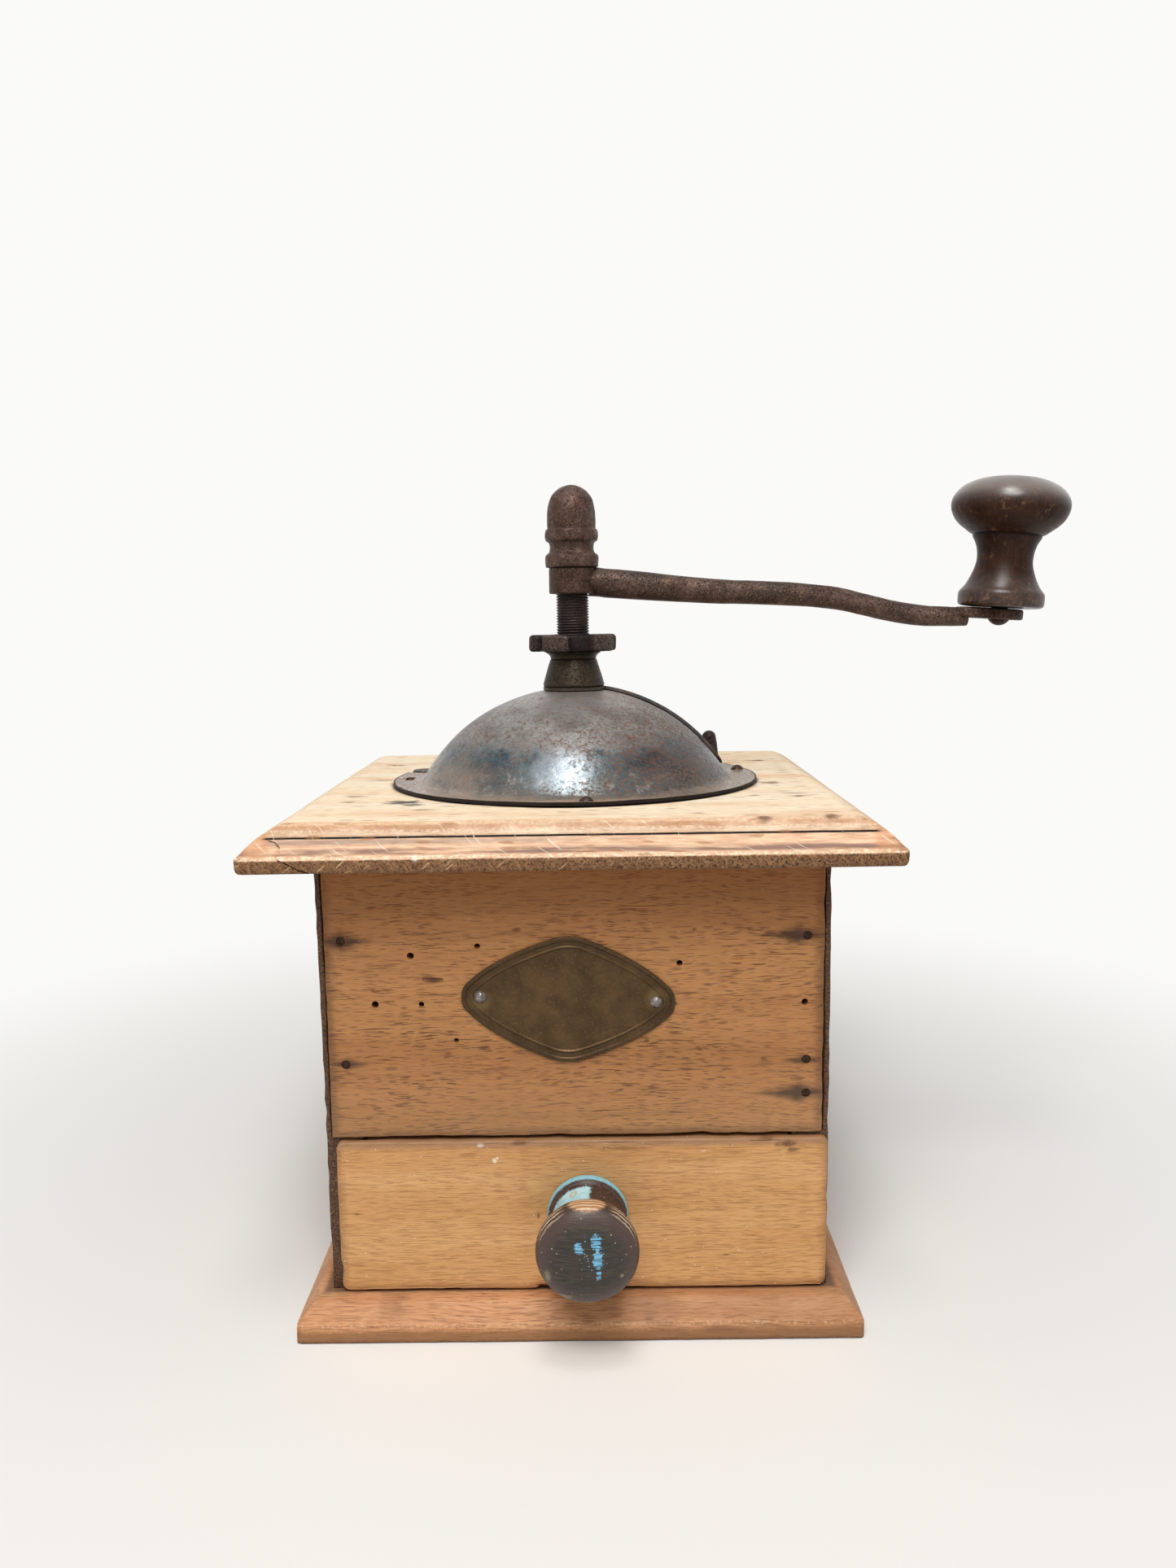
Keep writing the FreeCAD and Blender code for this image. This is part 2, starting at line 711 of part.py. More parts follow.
def build_drawer():
    floor = size.base_thick + size.drawer_rise
    front_top = size.panel_bottom - size.drawer_gap
    box_half = inner_face - size.drawer_play
    wall_top = floor + size.drawer_tall
    plug_back = half_depth - size.front_plug
    box_end = panel_back - size.drawer_room
    inside = box_half - size.drawer_wall
    front_half = half_width - size.front_inset

    plate = rounded((size.front_shift - front_half, floor), (size.front_shift + front_half, front_top),
                    size.front_corner)
    front = slab("drawer_front_blank", "XZ_Plane", plate, size.front_lip, half_depth)
    plug = outline(front, "drawer_plug_outline", "XZ_Plane",
                   [(-box_half, floor), (box_half, floor), (box_half, front_top), (-box_half, front_top)],
                   plug_back)
    thicken(front, "drawer_plug", plug, size.front_plug)

    walls = {}
    spans = (("drawer_left_side", -box_half, -inside), ("drawer_right_side", inside, box_half))
    for label, start, end in spans:
        walls[label] = block(label + "_blank", (start, -plug_back, floor), (end, box_end, wall_top))
    back_face = box_end - size.drawer_wall
    back = block("drawer_back_blank", (-inside, back_face, floor), (inside, box_end, wall_top))
    bottom = block("drawer_bottom_blank", (-inside, -plug_back, floor),
                   (inside, back_face, floor + size.drawer_floor))

    brad = flat_nail("drawer_brad", size.brad_radius, size.brad_head, size.brad_long)
    corner = box_end - size.drawer_wall / 2
    bottom_middle = floor + size.drawer_floor / 2
    spots = [(corner, floor + size.drawer_tall * 0.3), (corner, floor + size.drawer_tall * 0.75),
             (size.drawer_wall, bottom_middle), (-size.drawer_wall * 5, bottom_middle)]
    holes = fasteners("drawer_nails", brad, [
        ((sign * box_half, y, z), turns["left" if sign < 0 else "right"])
        for sign in (-1, 1) for y, z in spots])

    knob_z = (floor + front_top) / 2 + size.pull_rise
    face = half_depth + size.front_lip
    screw = domed_pin("pull_screw_master", size.pull_screw, size.screw_head, size.screw_dome,
                      size.front_plug + size.front_lip + size.pull_screw_grip)
    screw_holes = fasteners("drawer_knob_screw", screw, [
        ((size.knob_shift, -plug_back, knob_z), turns["back"])])

    long, rear, waist, wide = size.pull_long, size.pull_rear, size.pull_waist, size.pull_front
    pull = lathe("pull_blank", [
        (0, 0), (rear * 0.94, 0), crown(rear, long * 0.054), (rear * 0.955, long * 0.115),
        (waist * 1.01, long * 0.16), crown(waist, long * 0.3), (waist * 1.05, long * 0.475),
        crown(rear * 1.02, long * 0.58), (wide * 0.965, long * 0.68), crown(wide, long * 0.78),
        (wide * 0.955, long * 0.86), *cap(wide * 0.955, long * 0.86, long * 0.14)])
    place(pull, (size.knob_shift, -face, knob_z), turns["front"])

    keep(cut("drawer_front_cut", front, [screw_holes]), "drawer_front")
    for label, wall in walls.items():
        keep(cut(label + "_cut", wall, [holes]), label)
    keep(cut("drawer_back_cut", back, [holes]), "drawer_back")
    keep(cut("drawer_bottom_cut", bottom, [holes]), "drawer_bottom")
    keep(cut("pull_cut", pull, [screw_holes]), "drawer_knob")


def on_sphere(radius, share):
    """A point of a sphere round the dome's centre, at an angle from straight up."""
    return (radius * sine(share), dome_centre + radius * cosine(share))


def build_dome():
    sphere, inner = size.dome_sphere, size.dome_sphere - size.sheet_thick
    bend = size.dome_fillet * math.sqrt(0.5)
    bend_in = (size.dome_fillet + size.sheet_thick) * math.sqrt(0.5)
    hole = size.boss_spigot + size.fit
    half_way = dome_brim * 0.6
    return lathe("dome_blank", [
        (hole, seat_level), (size.dome_seat, seat_level), crown(*on_sphere(sphere, half_way)),
        on_sphere(sphere, dome_brim), crown(fillet_ring - bend, fillet_level - bend),
        (fillet_ring, flange_top), (flange_radius, flange_top), (flange_radius, field), (fillet_ring, field),
        crown(fillet_ring - bend_in, fillet_level - bend_in), on_sphere(inner, dome_brim),
        crown(*on_sphere(inner, half_way)), (size.dome_seat, seat_level - size.sheet_thick),
        (hole, seat_level - size.sheet_thick)])


def sector(name, inner, outer, low, high, start, sweep):
    """A cutting piece that fills part of a ring about the spindle."""
    tool = lathe(name, [(inner, low), (outer, low), (outer, high), (inner, high)], sweep)
    tool.Placement = FreeCAD.Placement(FreeCAD.Vector(), turn_about_z(start))
    return tool


def turn_about_z(angle):
    return FreeCAD.Rotation(FreeCAD.Vector(0, 0, 1), angle.number)


def build_hopper():
    dome = build_dome()
    mouth_inner = size.dome_sphere * sine(size.mouth_top)
    mouth_outer = size.dome_sphere * sine(dome_brim - size.mouth_margin)
    mouth = sector("mouth", mouth_inner, mouth_outer, field, boss_head, size.mouth_start, size.mouth_sweep)
    notch = sector("notch", fillet_ring + size.notch_out, flange_radius * 2, field - size.fit,
                   flange_top + size.fit, size.notch_start, size.notch_sweep)
    slot_r = size.slot_radius
    slot_y = fillet_ring + size.slot_out
    slot = slab("slot", "XY_Plane", [
        (-size.slot_half_long, -slot_y - slot_r), (size.slot_half_long, -slot_y - slot_r),
        crown(size.slot_half_long + slot_r, -slot_y), (size.slot_half_long, -slot_y + slot_r),
        (-size.slot_half_long, -slot_y + slot_r), crown(-size.slot_half_long - slot_r, -slot_y)],
        size.dome_fillet, field - size.fit)
    slot.Placement = FreeCAD.Placement(FreeCAD.Vector(), turn_about_z(size.slot_turn))

    nail = domed_pin("flange_nail", size.flange_nail_radius, size.flange_nail_head, size.flange_nail_dome,
                     size.flange_nail_long)
    flange_nail_angles = (-86, 12, 96)
    holes = fasteners("flange_nails", nail, [
        (around(flange_nail_ring, angle, flange_top), turns["up"]) for angle in flange_nail_angles])

    tack_long = size.flange_nail_long
    tack = lathe("tack_blank", [
        (0, size.tack_thick), (size.tack_head * 0.9, size.tack_thick * 0.8),
        (size.tack_head, size.tack_thick * 0.3), (size.tack_head * 0.95, 0), (size.nail_radius, 0),
        (size.nail_radius, -tack_long), (0, -tack_long)])
    spot = around(fillet_ring + size.tack_out, size.tack_angle, field)
    keep(place(tack, spot), "flange_tack")
    tack_hole = rod("tack_hole", size.nail_radius + size.fit, tack_long, spot, turns["down"])

    keep(cut("dome_cut", dome, [mouth, notch, slot, holes]), "hopper_dome")
    return [holes, tack_hole]


def build_shutter():
    eye = size.boss_collar + size.eye_play
    inner, outer = shutter_sphere, shutter_sphere + size.shutter_thick
    rim = dome_brim - size.shutter_margin
    half_way = rim * 0.6
    neck = size.dome_seat
    body = lathe("shutter_blank", [(eye, eye_level), (neck, eye_level), (neck, eye_top), (eye, eye_top)])
    leaf = outline(body, "leaf_outline", "XZ_Plane", [
        (eye, eye_level), (neck, eye_level), crown(*on_sphere(inner, half_way)), on_sphere(inner, rim),
        on_sphere(outer, rim), crown(*on_sphere(outer, half_way)), (neck, eye_top), (eye, eye_top)])
    spin(body, "leaf", leaf, size.shutter_sweep)
    body.Placement = FreeCAD.Placement(FreeCAD.Vector(), turn_about_z(size.shutter_start))

    def under_leaf(name, sphere, top):
        """All that lies inside one face of the leaf."""
        ring, level = on_sphere(sphere, rim)
        return lathe(name, [(0, dome_centre), (ring, dome_centre), (ring, level),
                            crown(*on_sphere(sphere, half_way)), (neck, top), (0, top)])

    tilt = FreeCAD.Rotation(FreeCAD.Vector(0, 1, 0), size.stud_lean.number)
    turn = turn_about_z(size.stud_angle).multiply(tilt)
    ring, level = on_sphere(outer, dome_brim - size.stud_margin)
    tenon, wide, long = size.stud_tenon, size.stud_radius, size.stud_long
    deep = wide * 2
    start = around(ring - deep * sine(size.stud_lean), size.stud_angle, level - deep * cosine(size.stud_lean))
    blank = lathe("stud_blank", [
        (0, 0), (wide * 0.9, 0), crown(wide, deep + long * 0.15), (wide * 0.93, deep + long * 0.72),
        *cap(wide * 0.93, deep + long * 0.72, long * 0.28)])
    head = cut("stud_head", place(blank, start, turn), [under_leaf("under_outside", outer, eye_top)])
    rivet = rod("stud_rivet", tenon, deep + tenon, start, turn)
    rivet = cut("stud_tenon", rivet, [under_leaf("under_inside", inner, eye_level)])
    keep(join("stud_whole", [head, rivet]), "shutter_knob")
    hole = rod("stud_hole", tenon + size.fit, deep * 2, start, turn)
    keep(cut("shutter_cut", body, [hole]), "shutter")


def build_boss():
    bore = size.shaft_radius + size.run_play
    foot = seat_level - size.sheet_thick - size.ring_tall
    keep(lathe("boss_turned", [
        (bore, foot), (size.boss_spigot, foot), (size.boss_spigot, seat_level),
        (size.boss_collar, seat_level), (size.boss_collar, boss_base), (size.boss_foot, boss_base),
        (size.boss_top, boss_head), (bore, boss_head)]), "boss")
    inside = size.boss_spigot + size.fit
    under = seat_level - size.sheet_thick
    keep(lathe("ring_turned", [
        (inside, foot), (size.ring_radius * 0.94, foot), (size.ring_radius, foot + size.ring_tall * 0.2),
        (size.ring_radius, under), (inside, under)]), "boss_ring")
    play = bore + size.washer_play
    washer_top = boss_head + size.washer_tall
    flare = size.washer_flare - size.washer_foot
    keep(lathe("washer_turned", [
        (play, boss_head), (size.washer_foot, boss_head),
        crown(size.washer_foot + flare * 0.3, boss_head + size.washer_tall * 0.5),
        (size.washer_flare, washer_top - size.washer_tall * 0.16), (size.washer_flare, washer_top),
        (play, washer_top)]), "thrust_washer")


def build_adjusting_nut():
    """A nut with five broad lobes and its edges rubbed round."""
    lobes = 5
    pitch = 360 / lobes
    half = size.nut_lobe / 2
    points = []
    for lobe in range(lobes):
        middle = size.nut_turn + lobe * pitch
        start, end = middle - half, middle + half
        points += [
            (size.nut_notch * cosine(start), size.nut_notch * sine(start)),
            (size.nut_radius * cosine(start), size.nut_radius * sine(start)),
            crown(size.nut_radius * cosine(middle), size.nut_radius * sine(middle)),
            (size.nut_radius * cosine(end), size.nut_radius * sine(end)),
            (size.nut_notch * cosine(end), size.nut_notch * sine(end)),
        ]
    star = slab("nut_star", "XY_Plane", points, size.nut_tall, nut_base)
    bore = size.shaft_radius + size.run_play
    edge, wide = size.nut_edge, size.nut_radius * 1.01
    bite = edge * (1 - math.sqrt(0.5))
    turned = lathe("nut_turned", [
        (bore, nut_base), (wide - edge, nut_base), crown(wide - bite, nut_base + bite),
        (wide, nut_base + edge), (wide, nut_top - edge), crown(wide - bite, nut_top - bite),
        (wide - edge, nut_top), (bore, nut_top)])
    nut = doc.addObject("Part::Common", "nut_common")
    nut.Base = star
    nut.Tool = turned
    keep(nut, "adjusting_nut")


def build_spindle():
    tail = burr_base - size.bridge_drop - size.bearing_below
    shaft = lathe("spindle_turned", [
        (0, tail), (size.journal_radius, tail), (size.journal_radius, cone_base),
        (size.seat_radius, cone_base), (size.seat_radius, cone_top), (size.shaft_radius, cone_top),
        (size.shaft_radius, hub_base), (0, hub_base)])
    side = size.square_side / 2
    square = block("spindle_square", (-side, -side, hub_base), (side, side, hub_top))
    stem = rod("spindle_stem", size.stem_radius, size.stem_tall, (0, 0, hub_top))
    long = size.cross_pin_half
    at = (-long, 0, cone_top - size.cross_pin_drop)
    keep(rod("cross_pin", size.cross_pin_radius, long * 2, at, turns["right"]), "inner_burr_pin")
    pin_hole = rod("cross_pin_hole", size.cross_pin_radius + size.fit, long * 2, at, turns["right"])
    keep(cut("spindle_cut", join("spindle_blank", [shaft, square, stem]), [pin_hole]), "spindle")
    return pin_hole


def flutes(name, count, radius, low, high):
    """Half-round grooves along a cone's wall, spread evenly about the spindle."""
    run, rise = low[0] - high[0], high[1] - low[1]
    lean = math.degrees(math.atan2(run.number, rise.number))
    long = root(run * run + rise * rise)
    places = []
    for step in range(int(count.number)):
        angle = 360 * step / count.number
        turn = FreeCAD.Rotation(FreeCAD.Vector(0, 0, 1), angle).multiply(
            FreeCAD.Rotation(FreeCAD.Vector(0, 1, 0), -lean))
        places.append((around(low[0], angle, low[1]), turn))
    groove = rod(name + "_groove", radius, long, (0, 0, 0))
    return copies(name, groove, places)


def build_burrs(pin_hole):
    bite_top = burr_base + size.burr_bite
    under = size.case_top - size.burr_flange_thick
    burr_flange = burr_body + size.burr_flange_wide
    ring = lathe("outer_burr_turned", [
        (size.burr_mouth, burr_base), (size.burr_foot, burr_base), (burr_body, under),
        (burr_flange, under), (burr_flange, size.case_top), (size.throat_radius, size.case_top),
        (size.burr_throat, bite_top)])
    cone_foot = (size.burr_mouth - size.burr_gap, burr_base)
    cone_throat = (size.burr_throat - size.burr_gap, bite_top)
    cone_head = (size.cone_crown, cone_top)
    cone_bore = size.seat_radius + size.fit
    cone = lathe("inner_burr_turned", [
        (cone_bore, cone_base), (cone_foot[0], cone_base), cone_foot, cone_throat, cone_head,
        (cone_bore, cone_top)])
    outer_teeth = flutes("outer_teeth", size.outer_flutes, size.flute_radius, (size.burr_mouth, burr_base),
                         (size.burr_throat, bite_top))
    inner_teeth = flutes("inner_teeth", size.inner_flutes, size.flute_radius, cone_foot, cone_throat)
    breakers = flutes("breakers", size.inner_flutes / 4, size.flute_radius * 2, cone_throat, cone_head)

    wood_screw = domed_pin("burr_screw", size.screw_radius, size.screw_head, size.screw_dome,
                           size.burr_flange_thick + size.screw_grip)
    screw_ring = burr_body + size.burr_flange_wide / 2
    screw_angles = (30, 150, 270)
    screw_holes = fasteners("burr_screws", wood_screw, [
        (around(screw_ring, angle, under), turns["down"]) for angle in screw_angles])

    leg_x = size.bridge_half_long - size.bridge_leg / 2
    machine_screw = domed_pin("bridge_screw", size.screw_radius, size.screw_head, size.screw_dome,
                              size.bridge_drop + size.screw_grip)
    bridge_holes = fasteners("bridge_screws", machine_screw, [
        ((sign * leg_x, 0, bridge_base), turns["down"]) for sign in (-1, 1)])

    keep(cut("outer_burr_cut", ring, [outer_teeth, screw_holes, bridge_holes]), "outer_burr")
    keep(cut("inner_burr_cut", cone, [inner_teeth, breakers, pin_hole]), "inner_burr")

    long, wide = size.bridge_half_long, size.bridge_half_wide
    bar = block("bridge_bar", (-long, -wide, bridge_base), (long, wide, bridge_top))
    legs = [block("bridge_left_leg", (-long, -wide, bridge_top), (size.bridge_leg - long, wide, burr_base)),
            block("bridge_right_leg", (long - size.bridge_leg, -wide, bridge_top), (long, wide, burr_base))]
    deep = size.bearing_below + size.bridge_thick + size.bearing_above
    bearing_base = bridge_base - size.bearing_below
    bearing = rod("bridge_bearing", size.bearing_radius, deep, (0, 0, bearing_base))
    bore = rod("bridge_bore", size.journal_radius + size.run_play, deep * 2, (0, 0, bearing_base - deep / 2))
    keep(cut("bridge_cut", join("bridge_blank", [bar, *legs, bearing]), [bore, bridge_holes]), "lower_bridge")
    return screw_holes


def arm_section(name):
    """One oval section of the crank arm, upright, at its reach from the shaft and its drop from the hub."""
    reach, drop, tall = [getattr(size, f"{name}_{what}") for what in ("reach", "drop", "tall")]
    oval = doc.addObject("Part::Ellipse", "arm_" + name)
    oval.setExpression("MajorRadius", (tall / 2).formula)
    oval.setExpression("MinorRadius", (tall * size.arm_round / 2).formula)
    upright = FreeCAD.Rotation(FreeCAD.Vector(0, 1, 0), -90)
    return place(oval, (size.shaft_radius + reach, 0, hub_top - drop), upright)


def build_crank():
    hub = rod("hub_turned", size.hub_radius, size.hub_tall, (0, 0, hub_base))
    stations = ("root", "neck", "waist", "shin", "bend", "fall", "foot", "tip")
    arm = doc.addObject("Part::Loft", "arm_loft")
    arm.Sections = [arm_section(name) for name in stations]
    arm.Solid = True

    tilt = FreeCAD.Rotation(FreeCAD.Vector(0, 1, 0), size.tab_tilt.number)
    pin_foot = (size.throw, 0, hub_top - size.tab_drop)
    wide, end = size.tab_half_wide, size.tab_end
    tab = slab("tab", "XY_Plane", [
        (-size.tab_tail, -wide * 0.5), (-size.tab_tail * 0.6, -wide), (0, -wide), crown(end, 0), (0, wide),
        (-size.tab_tail * 0.6, wide), (-size.tab_tail, wide * 0.5)], size.tab_thick, -size.tab_thick)
    place(tab, pin_foot, tilt)

    side = size.square_side / 2 + size.fit
    square = block("hub_square", (-side, -side, hub_base - size.fit), (side, side, hub_top + size.fit))
    down = size.tab_thick * 2
    below = (pin_foot[0] - down * sine(size.tab_tilt), 0, pin_foot[2] - down * cosine(size.tab_tilt))
    pin_hole = rod("tab_hole", size.pin_radius + size.fit, size.tab_thick * 3, below, tilt)
    keep(cut("crank_cut", join("crank_blank", [hub, arm, tab]), [square, pin_hole]), "crank_arm")

    build_crank_knob(pin_foot, tilt)
    build_acorn()


def build_crank_knob(pin_foot, tilt):
    low, tall = size.knob_lift, size.knob_tall
    foot, neck, head = size.knob_foot, size.knob_neck, size.knob_head
    top = low + tall
    recess = top - size.pin_sink - size.knob_lift
    bore = size.pin_radius + size.pin_play
    well = size.pin_head + size.knob_lift
    knob = lathe("knob_turned", [
        (bore, low), (foot * 0.88, low), crown(foot, low + tall * 0.075), (foot * 0.9, low + tall * 0.15),
        (foot * 0.83, low + tall * 0.17), crown(neck, low + tall * 0.36), (head * 0.6, low + tall * 0.55),
        (head * 0.63, low + tall * 0.565), crown(head * 0.885, low + tall * 0.66), (head, low + tall * 0.79),
        crown(head * 0.86, low + tall * 0.91), (head * 0.5, low + tall * 0.98), (well, top), (well, recess),
        (bore, recess)])
    keep(place(knob, pin_foot, tilt), "crank_knob")

    under = -size.tab_thick
    head_low = top - size.pin_sink
    peen, peen_end = cap(size.peen_radius, under, -size.peen_tall)
    pin = lathe("pin_turned", [
        peen_end, peen, (size.peen_radius, under), (size.pin_radius, under), (size.pin_radius, head_low),
        (size.pin_head, head_low), *cap(size.pin_head, head_low, size.pin_head_thick)])
    keep(place(pin, pin_foot, tilt), "knob_pin")


def build_acorn():
    ring, neck, body, tall = size.acorn_ring, size.acorn_neck, size.acorn_body, size.acorn_tall
    bore = size.stem_radius + size.fit
    floor = hub_top + size.stem_tall + size.fit
    edge = ring * 0.95
    keep(lathe("acorn_turned", [
        (bore, hub_top), (edge, hub_top), crown(ring, hub_top + tall * 0.085), (edge, hub_top + tall * 0.165),
        crown(neck, hub_top + tall * 0.25), (edge, hub_top + tall * 0.33), crown(ring, hub_top + tall * 0.41),
        (edge, hub_top + tall * 0.48), (body, hub_top + tall * 0.495),
        crown(body * 0.915, hub_top + tall * 0.79), (body * 0.36, hub_top + tall * 0.965),
        *cap(body * 0.36, hub_top + tall * 0.965, tall * 0.035), (0, floor), (bore, floor)]), "acorn_nut")


top_blank, top_tools = build_case()
build_drawer()
hopper_holes = build_hopper()
build_shutter()
build_boss()
build_adjusting_nut()
burr_pin_hole = build_spindle()
burr_screw_holes = build_burrs(burr_pin_hole)
build_crank()
keep(cut("top_cut", top_blank, [*top_tools, *hopper_holes, burr_screw_holes]), "top_board")
doc.recompute()

for item in doc.Objects:
    if any(word in item.State for word in ("Invalid", "Error")):
        raise RuntimeError(f"{item.Name} did not build: {item.State}")
for node in nodes:
    if node.Shape.isNull() or not node.Shape.isValid():
        raise RuntimeError(f"{node.Label} has no valid shape")

os.makedirs("parts", exist_ok=True)
for node in nodes:
    node.Shape.exportStep(f"parts/{node.Label}.step")
    box = node.Shape.BoundBox
    print(f"{node.Label}: {len(node.Shape.Solids)} solids, {node.Shape.Volume:.1f} mm3, "
          f"z {box.ZMin:.2f} to {box.ZMax:.2f}")
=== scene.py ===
from math import asin, atan2, cos, degrees, hypot, pi, radians, sin

import bmesh
import bpy
from mathutils import Matrix, Vector, noise


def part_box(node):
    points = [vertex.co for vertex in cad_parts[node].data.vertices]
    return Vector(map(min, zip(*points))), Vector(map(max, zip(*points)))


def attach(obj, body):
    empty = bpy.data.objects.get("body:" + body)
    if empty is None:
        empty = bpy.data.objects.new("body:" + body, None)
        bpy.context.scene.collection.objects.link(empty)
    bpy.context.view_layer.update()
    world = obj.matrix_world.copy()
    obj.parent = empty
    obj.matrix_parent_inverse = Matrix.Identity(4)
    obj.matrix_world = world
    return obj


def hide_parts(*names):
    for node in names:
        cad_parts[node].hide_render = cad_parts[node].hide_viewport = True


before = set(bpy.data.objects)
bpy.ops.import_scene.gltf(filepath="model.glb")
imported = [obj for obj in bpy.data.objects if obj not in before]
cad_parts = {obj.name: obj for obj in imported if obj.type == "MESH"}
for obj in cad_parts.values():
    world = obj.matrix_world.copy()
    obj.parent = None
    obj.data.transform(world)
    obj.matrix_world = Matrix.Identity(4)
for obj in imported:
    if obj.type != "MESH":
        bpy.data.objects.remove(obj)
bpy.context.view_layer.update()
scene = bpy.context.scene
mm = 0.001  # pieces are drawn in millimetres and shrunk when they are finished
noise.seed_set(8)  # otherwise the unevenness of worn pieces would differ from run to run
print("mill: frame loaded")


def tint(code):
    parts = [int(code[i:i + 2], 16) / 255 for i in (0, 2, 4)]
    return [p / 12.92 if p <= 0.04045 else ((p + 0.055) / 1.055) ** 2.4 for p in parts] + [1]


class NodeTree:  # short ways to add nodes to a material or to the world
    def __init__(self, owner):
        owner.use_nodes = True
        self.nodes = owner.node_tree.nodes
        self.links = owner.node_tree.links

    def feed(self, socket, value):
        if isinstance(value, bpy.types.NodeSocket):
            self.links.new(value, socket)
        else:
            socket.default_value = tint(value) if isinstance(value, str) else value

    def add(self, kind, feeds, **settings):
        node = self.nodes.new("ShaderNode" + kind)
        for key, value in settings.items():
            setattr(node, key, value)
        for key, value in feeds.items():
            self.feed(node.inputs[key], value)
        return node

    def maths(self, way, a, b=0.0):
        return self.add("Math", {0: a, 1: b}, operation=way).outputs[0]

    def chain(self, way, shares):
        total = shares[0]
        for share in shares[1:]:
            total = self.maths(way, total, share)
        return total

    def times(self, *shares):
        return self.chain("MULTIPLY", shares)

    def most(self, *shares):
        return self.chain("MAXIMUM", shares)


class Finish(NodeTree):  # one material, its colour laid on coat by coat
    def __init__(self, name):
        self.material = bpy.data.materials.new(name)
        super().__init__(self.material)
        self.shader = self.nodes["Principled BSDF"]
        self.place = self.stretch(self.add("TexCoord", {}).outputs["Object"], 1 / mm)
        self.x, self.y, self.z = self.split(self.place)
        self.colour = None

    def ground(self, share, a, b):  # the first coat
        self.colour = self.mix(share, a, b)

    def lay(self, share, tone):  # a coat over those that are there
        self.colour = self.mix(share, self.colour, tone)

    def mix(self, share, a, b):
        return self.add("Mix", {0: share, 6: a, 7: b}, data_type="RGBA").outputs[2]

    def stretch(self, vector, scale=1, turn=(0, 0, 0)):
        scale = scale if isinstance(scale, tuple) else (scale,) * 3
        feeds = {"Vector": vector, "Scale": scale, "Rotation": [radians(t) for t in turn]}
        return self.add("Mapping", feeds).outputs[0]

    def split(self, vector):
        return self.add("SeparateXYZ", {0: vector}).outputs

    def gather(self, x, y, z):
        return self.add("CombineXYZ", {0: x, 1: y, 2: z}).outputs[0]

    def plus(self, a, b):
        return self.maths("ADD", a, b)

    def minus(self, a, b):
        return self.maths("SUBTRACT", a, b)

    def size(self, a, centre=0.0):  # how far a value is from its centre
        return self.maths("ABSOLUTE", self.minus(a, centre))

    def vector(self, way, a, b=(0, 0, 0)):
        node = self.add("VectorMath", {0: a, 1: b}, operation=way)
        return node.outputs[1 if way == "LENGTH" else 0]

    def fromAxis(self):  # how far out from the spindle's axis
        return self.vector("LENGTH", self.gather(self.x, self.y, 0))

    def cloud(self, vector, scale=1.0, detail=2.0, rough=0.5):
        feeds = {"Vector": vector, "Scale": scale, "Detail": detail, "Roughness": rough}
        return self.add("TexNoise", feeds).outputs[0]

    def drawn(self, vector, along, across, detail=2.0, rough=0.5):  # noise drawn out along x
        return self.cloud(self.stretch(vector, (along, across, across)), 1, detail, rough)

    def wobble(self, vector, scale, depth, detail=4):  # noise about nought
        return self.times(self.minus(self.cloud(vector, scale, detail), 0.5), depth)

    def cells(self, vector, scale=1.0):
        node = self.add("TexVoronoi", {"Vector": vector, "Scale": scale})
        return node.outputs["Distance"], node.outputs["Color"]

    def strokes(self, vector, long, thin, rare=0.4, turn=(0, 0, 0)):  # short thin marks, all lying one way
        laid = self.stretch(self.stretch(vector, 1, turn), (1 / long, 1 / thin, 1 / thin))
        spot, tone = self.cells(laid)
        return self.times(self.ease(spot, 0.42, 0.2), self.ease(self.split(tone)[0], rare, rare + 0.2))

    def specks(self, scale, reach, rare):  # scattered dots
        spot, tone = self.cells(self.place, scale)
        chosen = self.ease(self.split(tone)[0], rare, rare + 0.1)
        return self.times(self.ease(spot, reach, reach * 0.6), chosen)

    def ease(self, value, low, high, start=0.0, end=1.0):
        feeds = {"Value": value, "From Min": low, "From Max": high, "To Min": start, "To Max": end}
        return self.add("MapRange", feeds, interpolation_type="SMOOTHSTEP").outputs[0]

    def band(self, value, low, high, soft):  # 1 between low and high
        rise = self.ease(value, low - soft, low + soft)
        return self.times(rise, self.ease(value, high + soft, high - soft))

    def relief(self, height, depth):
        return self.add("Bump", {"Height": height, "Distance": depth * mm, "Strength": 1.0}).outputs[0]

    def away(self, spot, reach, wobble=0.0):  # how far from a spot, where 1 is its edge
        offset = self.vector("SUBTRACT", self.place, spot)
        far = self.vector("LENGTH", self.vector("MULTIPLY", offset, [1 / r for r in reach]))
        return self.plus(far, wobble)

    def spots(self, marks, wobble=0.0):  # each mark is a centre, a reach and a strength
        return self.most(*[self.ease(self.away(spot, reach, wobble), 1.0, 0.25, 0.0, strength)
                           for spot, reach, strength in marks])

    def lenses(self, marks, wobble):  # marks with pointed ends along the grain of a front or back
        shares = []
        for x, z, long, tall, strength in marks:
            across = self.times(self.size(self.x, x), 1 / long)
            up = self.maths("POWER", self.times(self.size(self.z, z), 1 / tall), 0.7)
            shares.append(self.ease(self.plus(self.plus(across, up), wobble), 1.0, 0.3, 0.0, strength))
        return self.most(*shares)

    def edgeGap(self, low, high, axes):  # millimetres to the nearest edge of a board
        gaps = []
        for axis in axes:
            middle, half = (low[axis] + high[axis]) / 2, (high[axis] - low[axis]) / 2
            gaps.append(self.minus(half, self.size((self.x, self.y, self.z)[axis], middle)))
        return self.chain("MINIMUM", gaps)

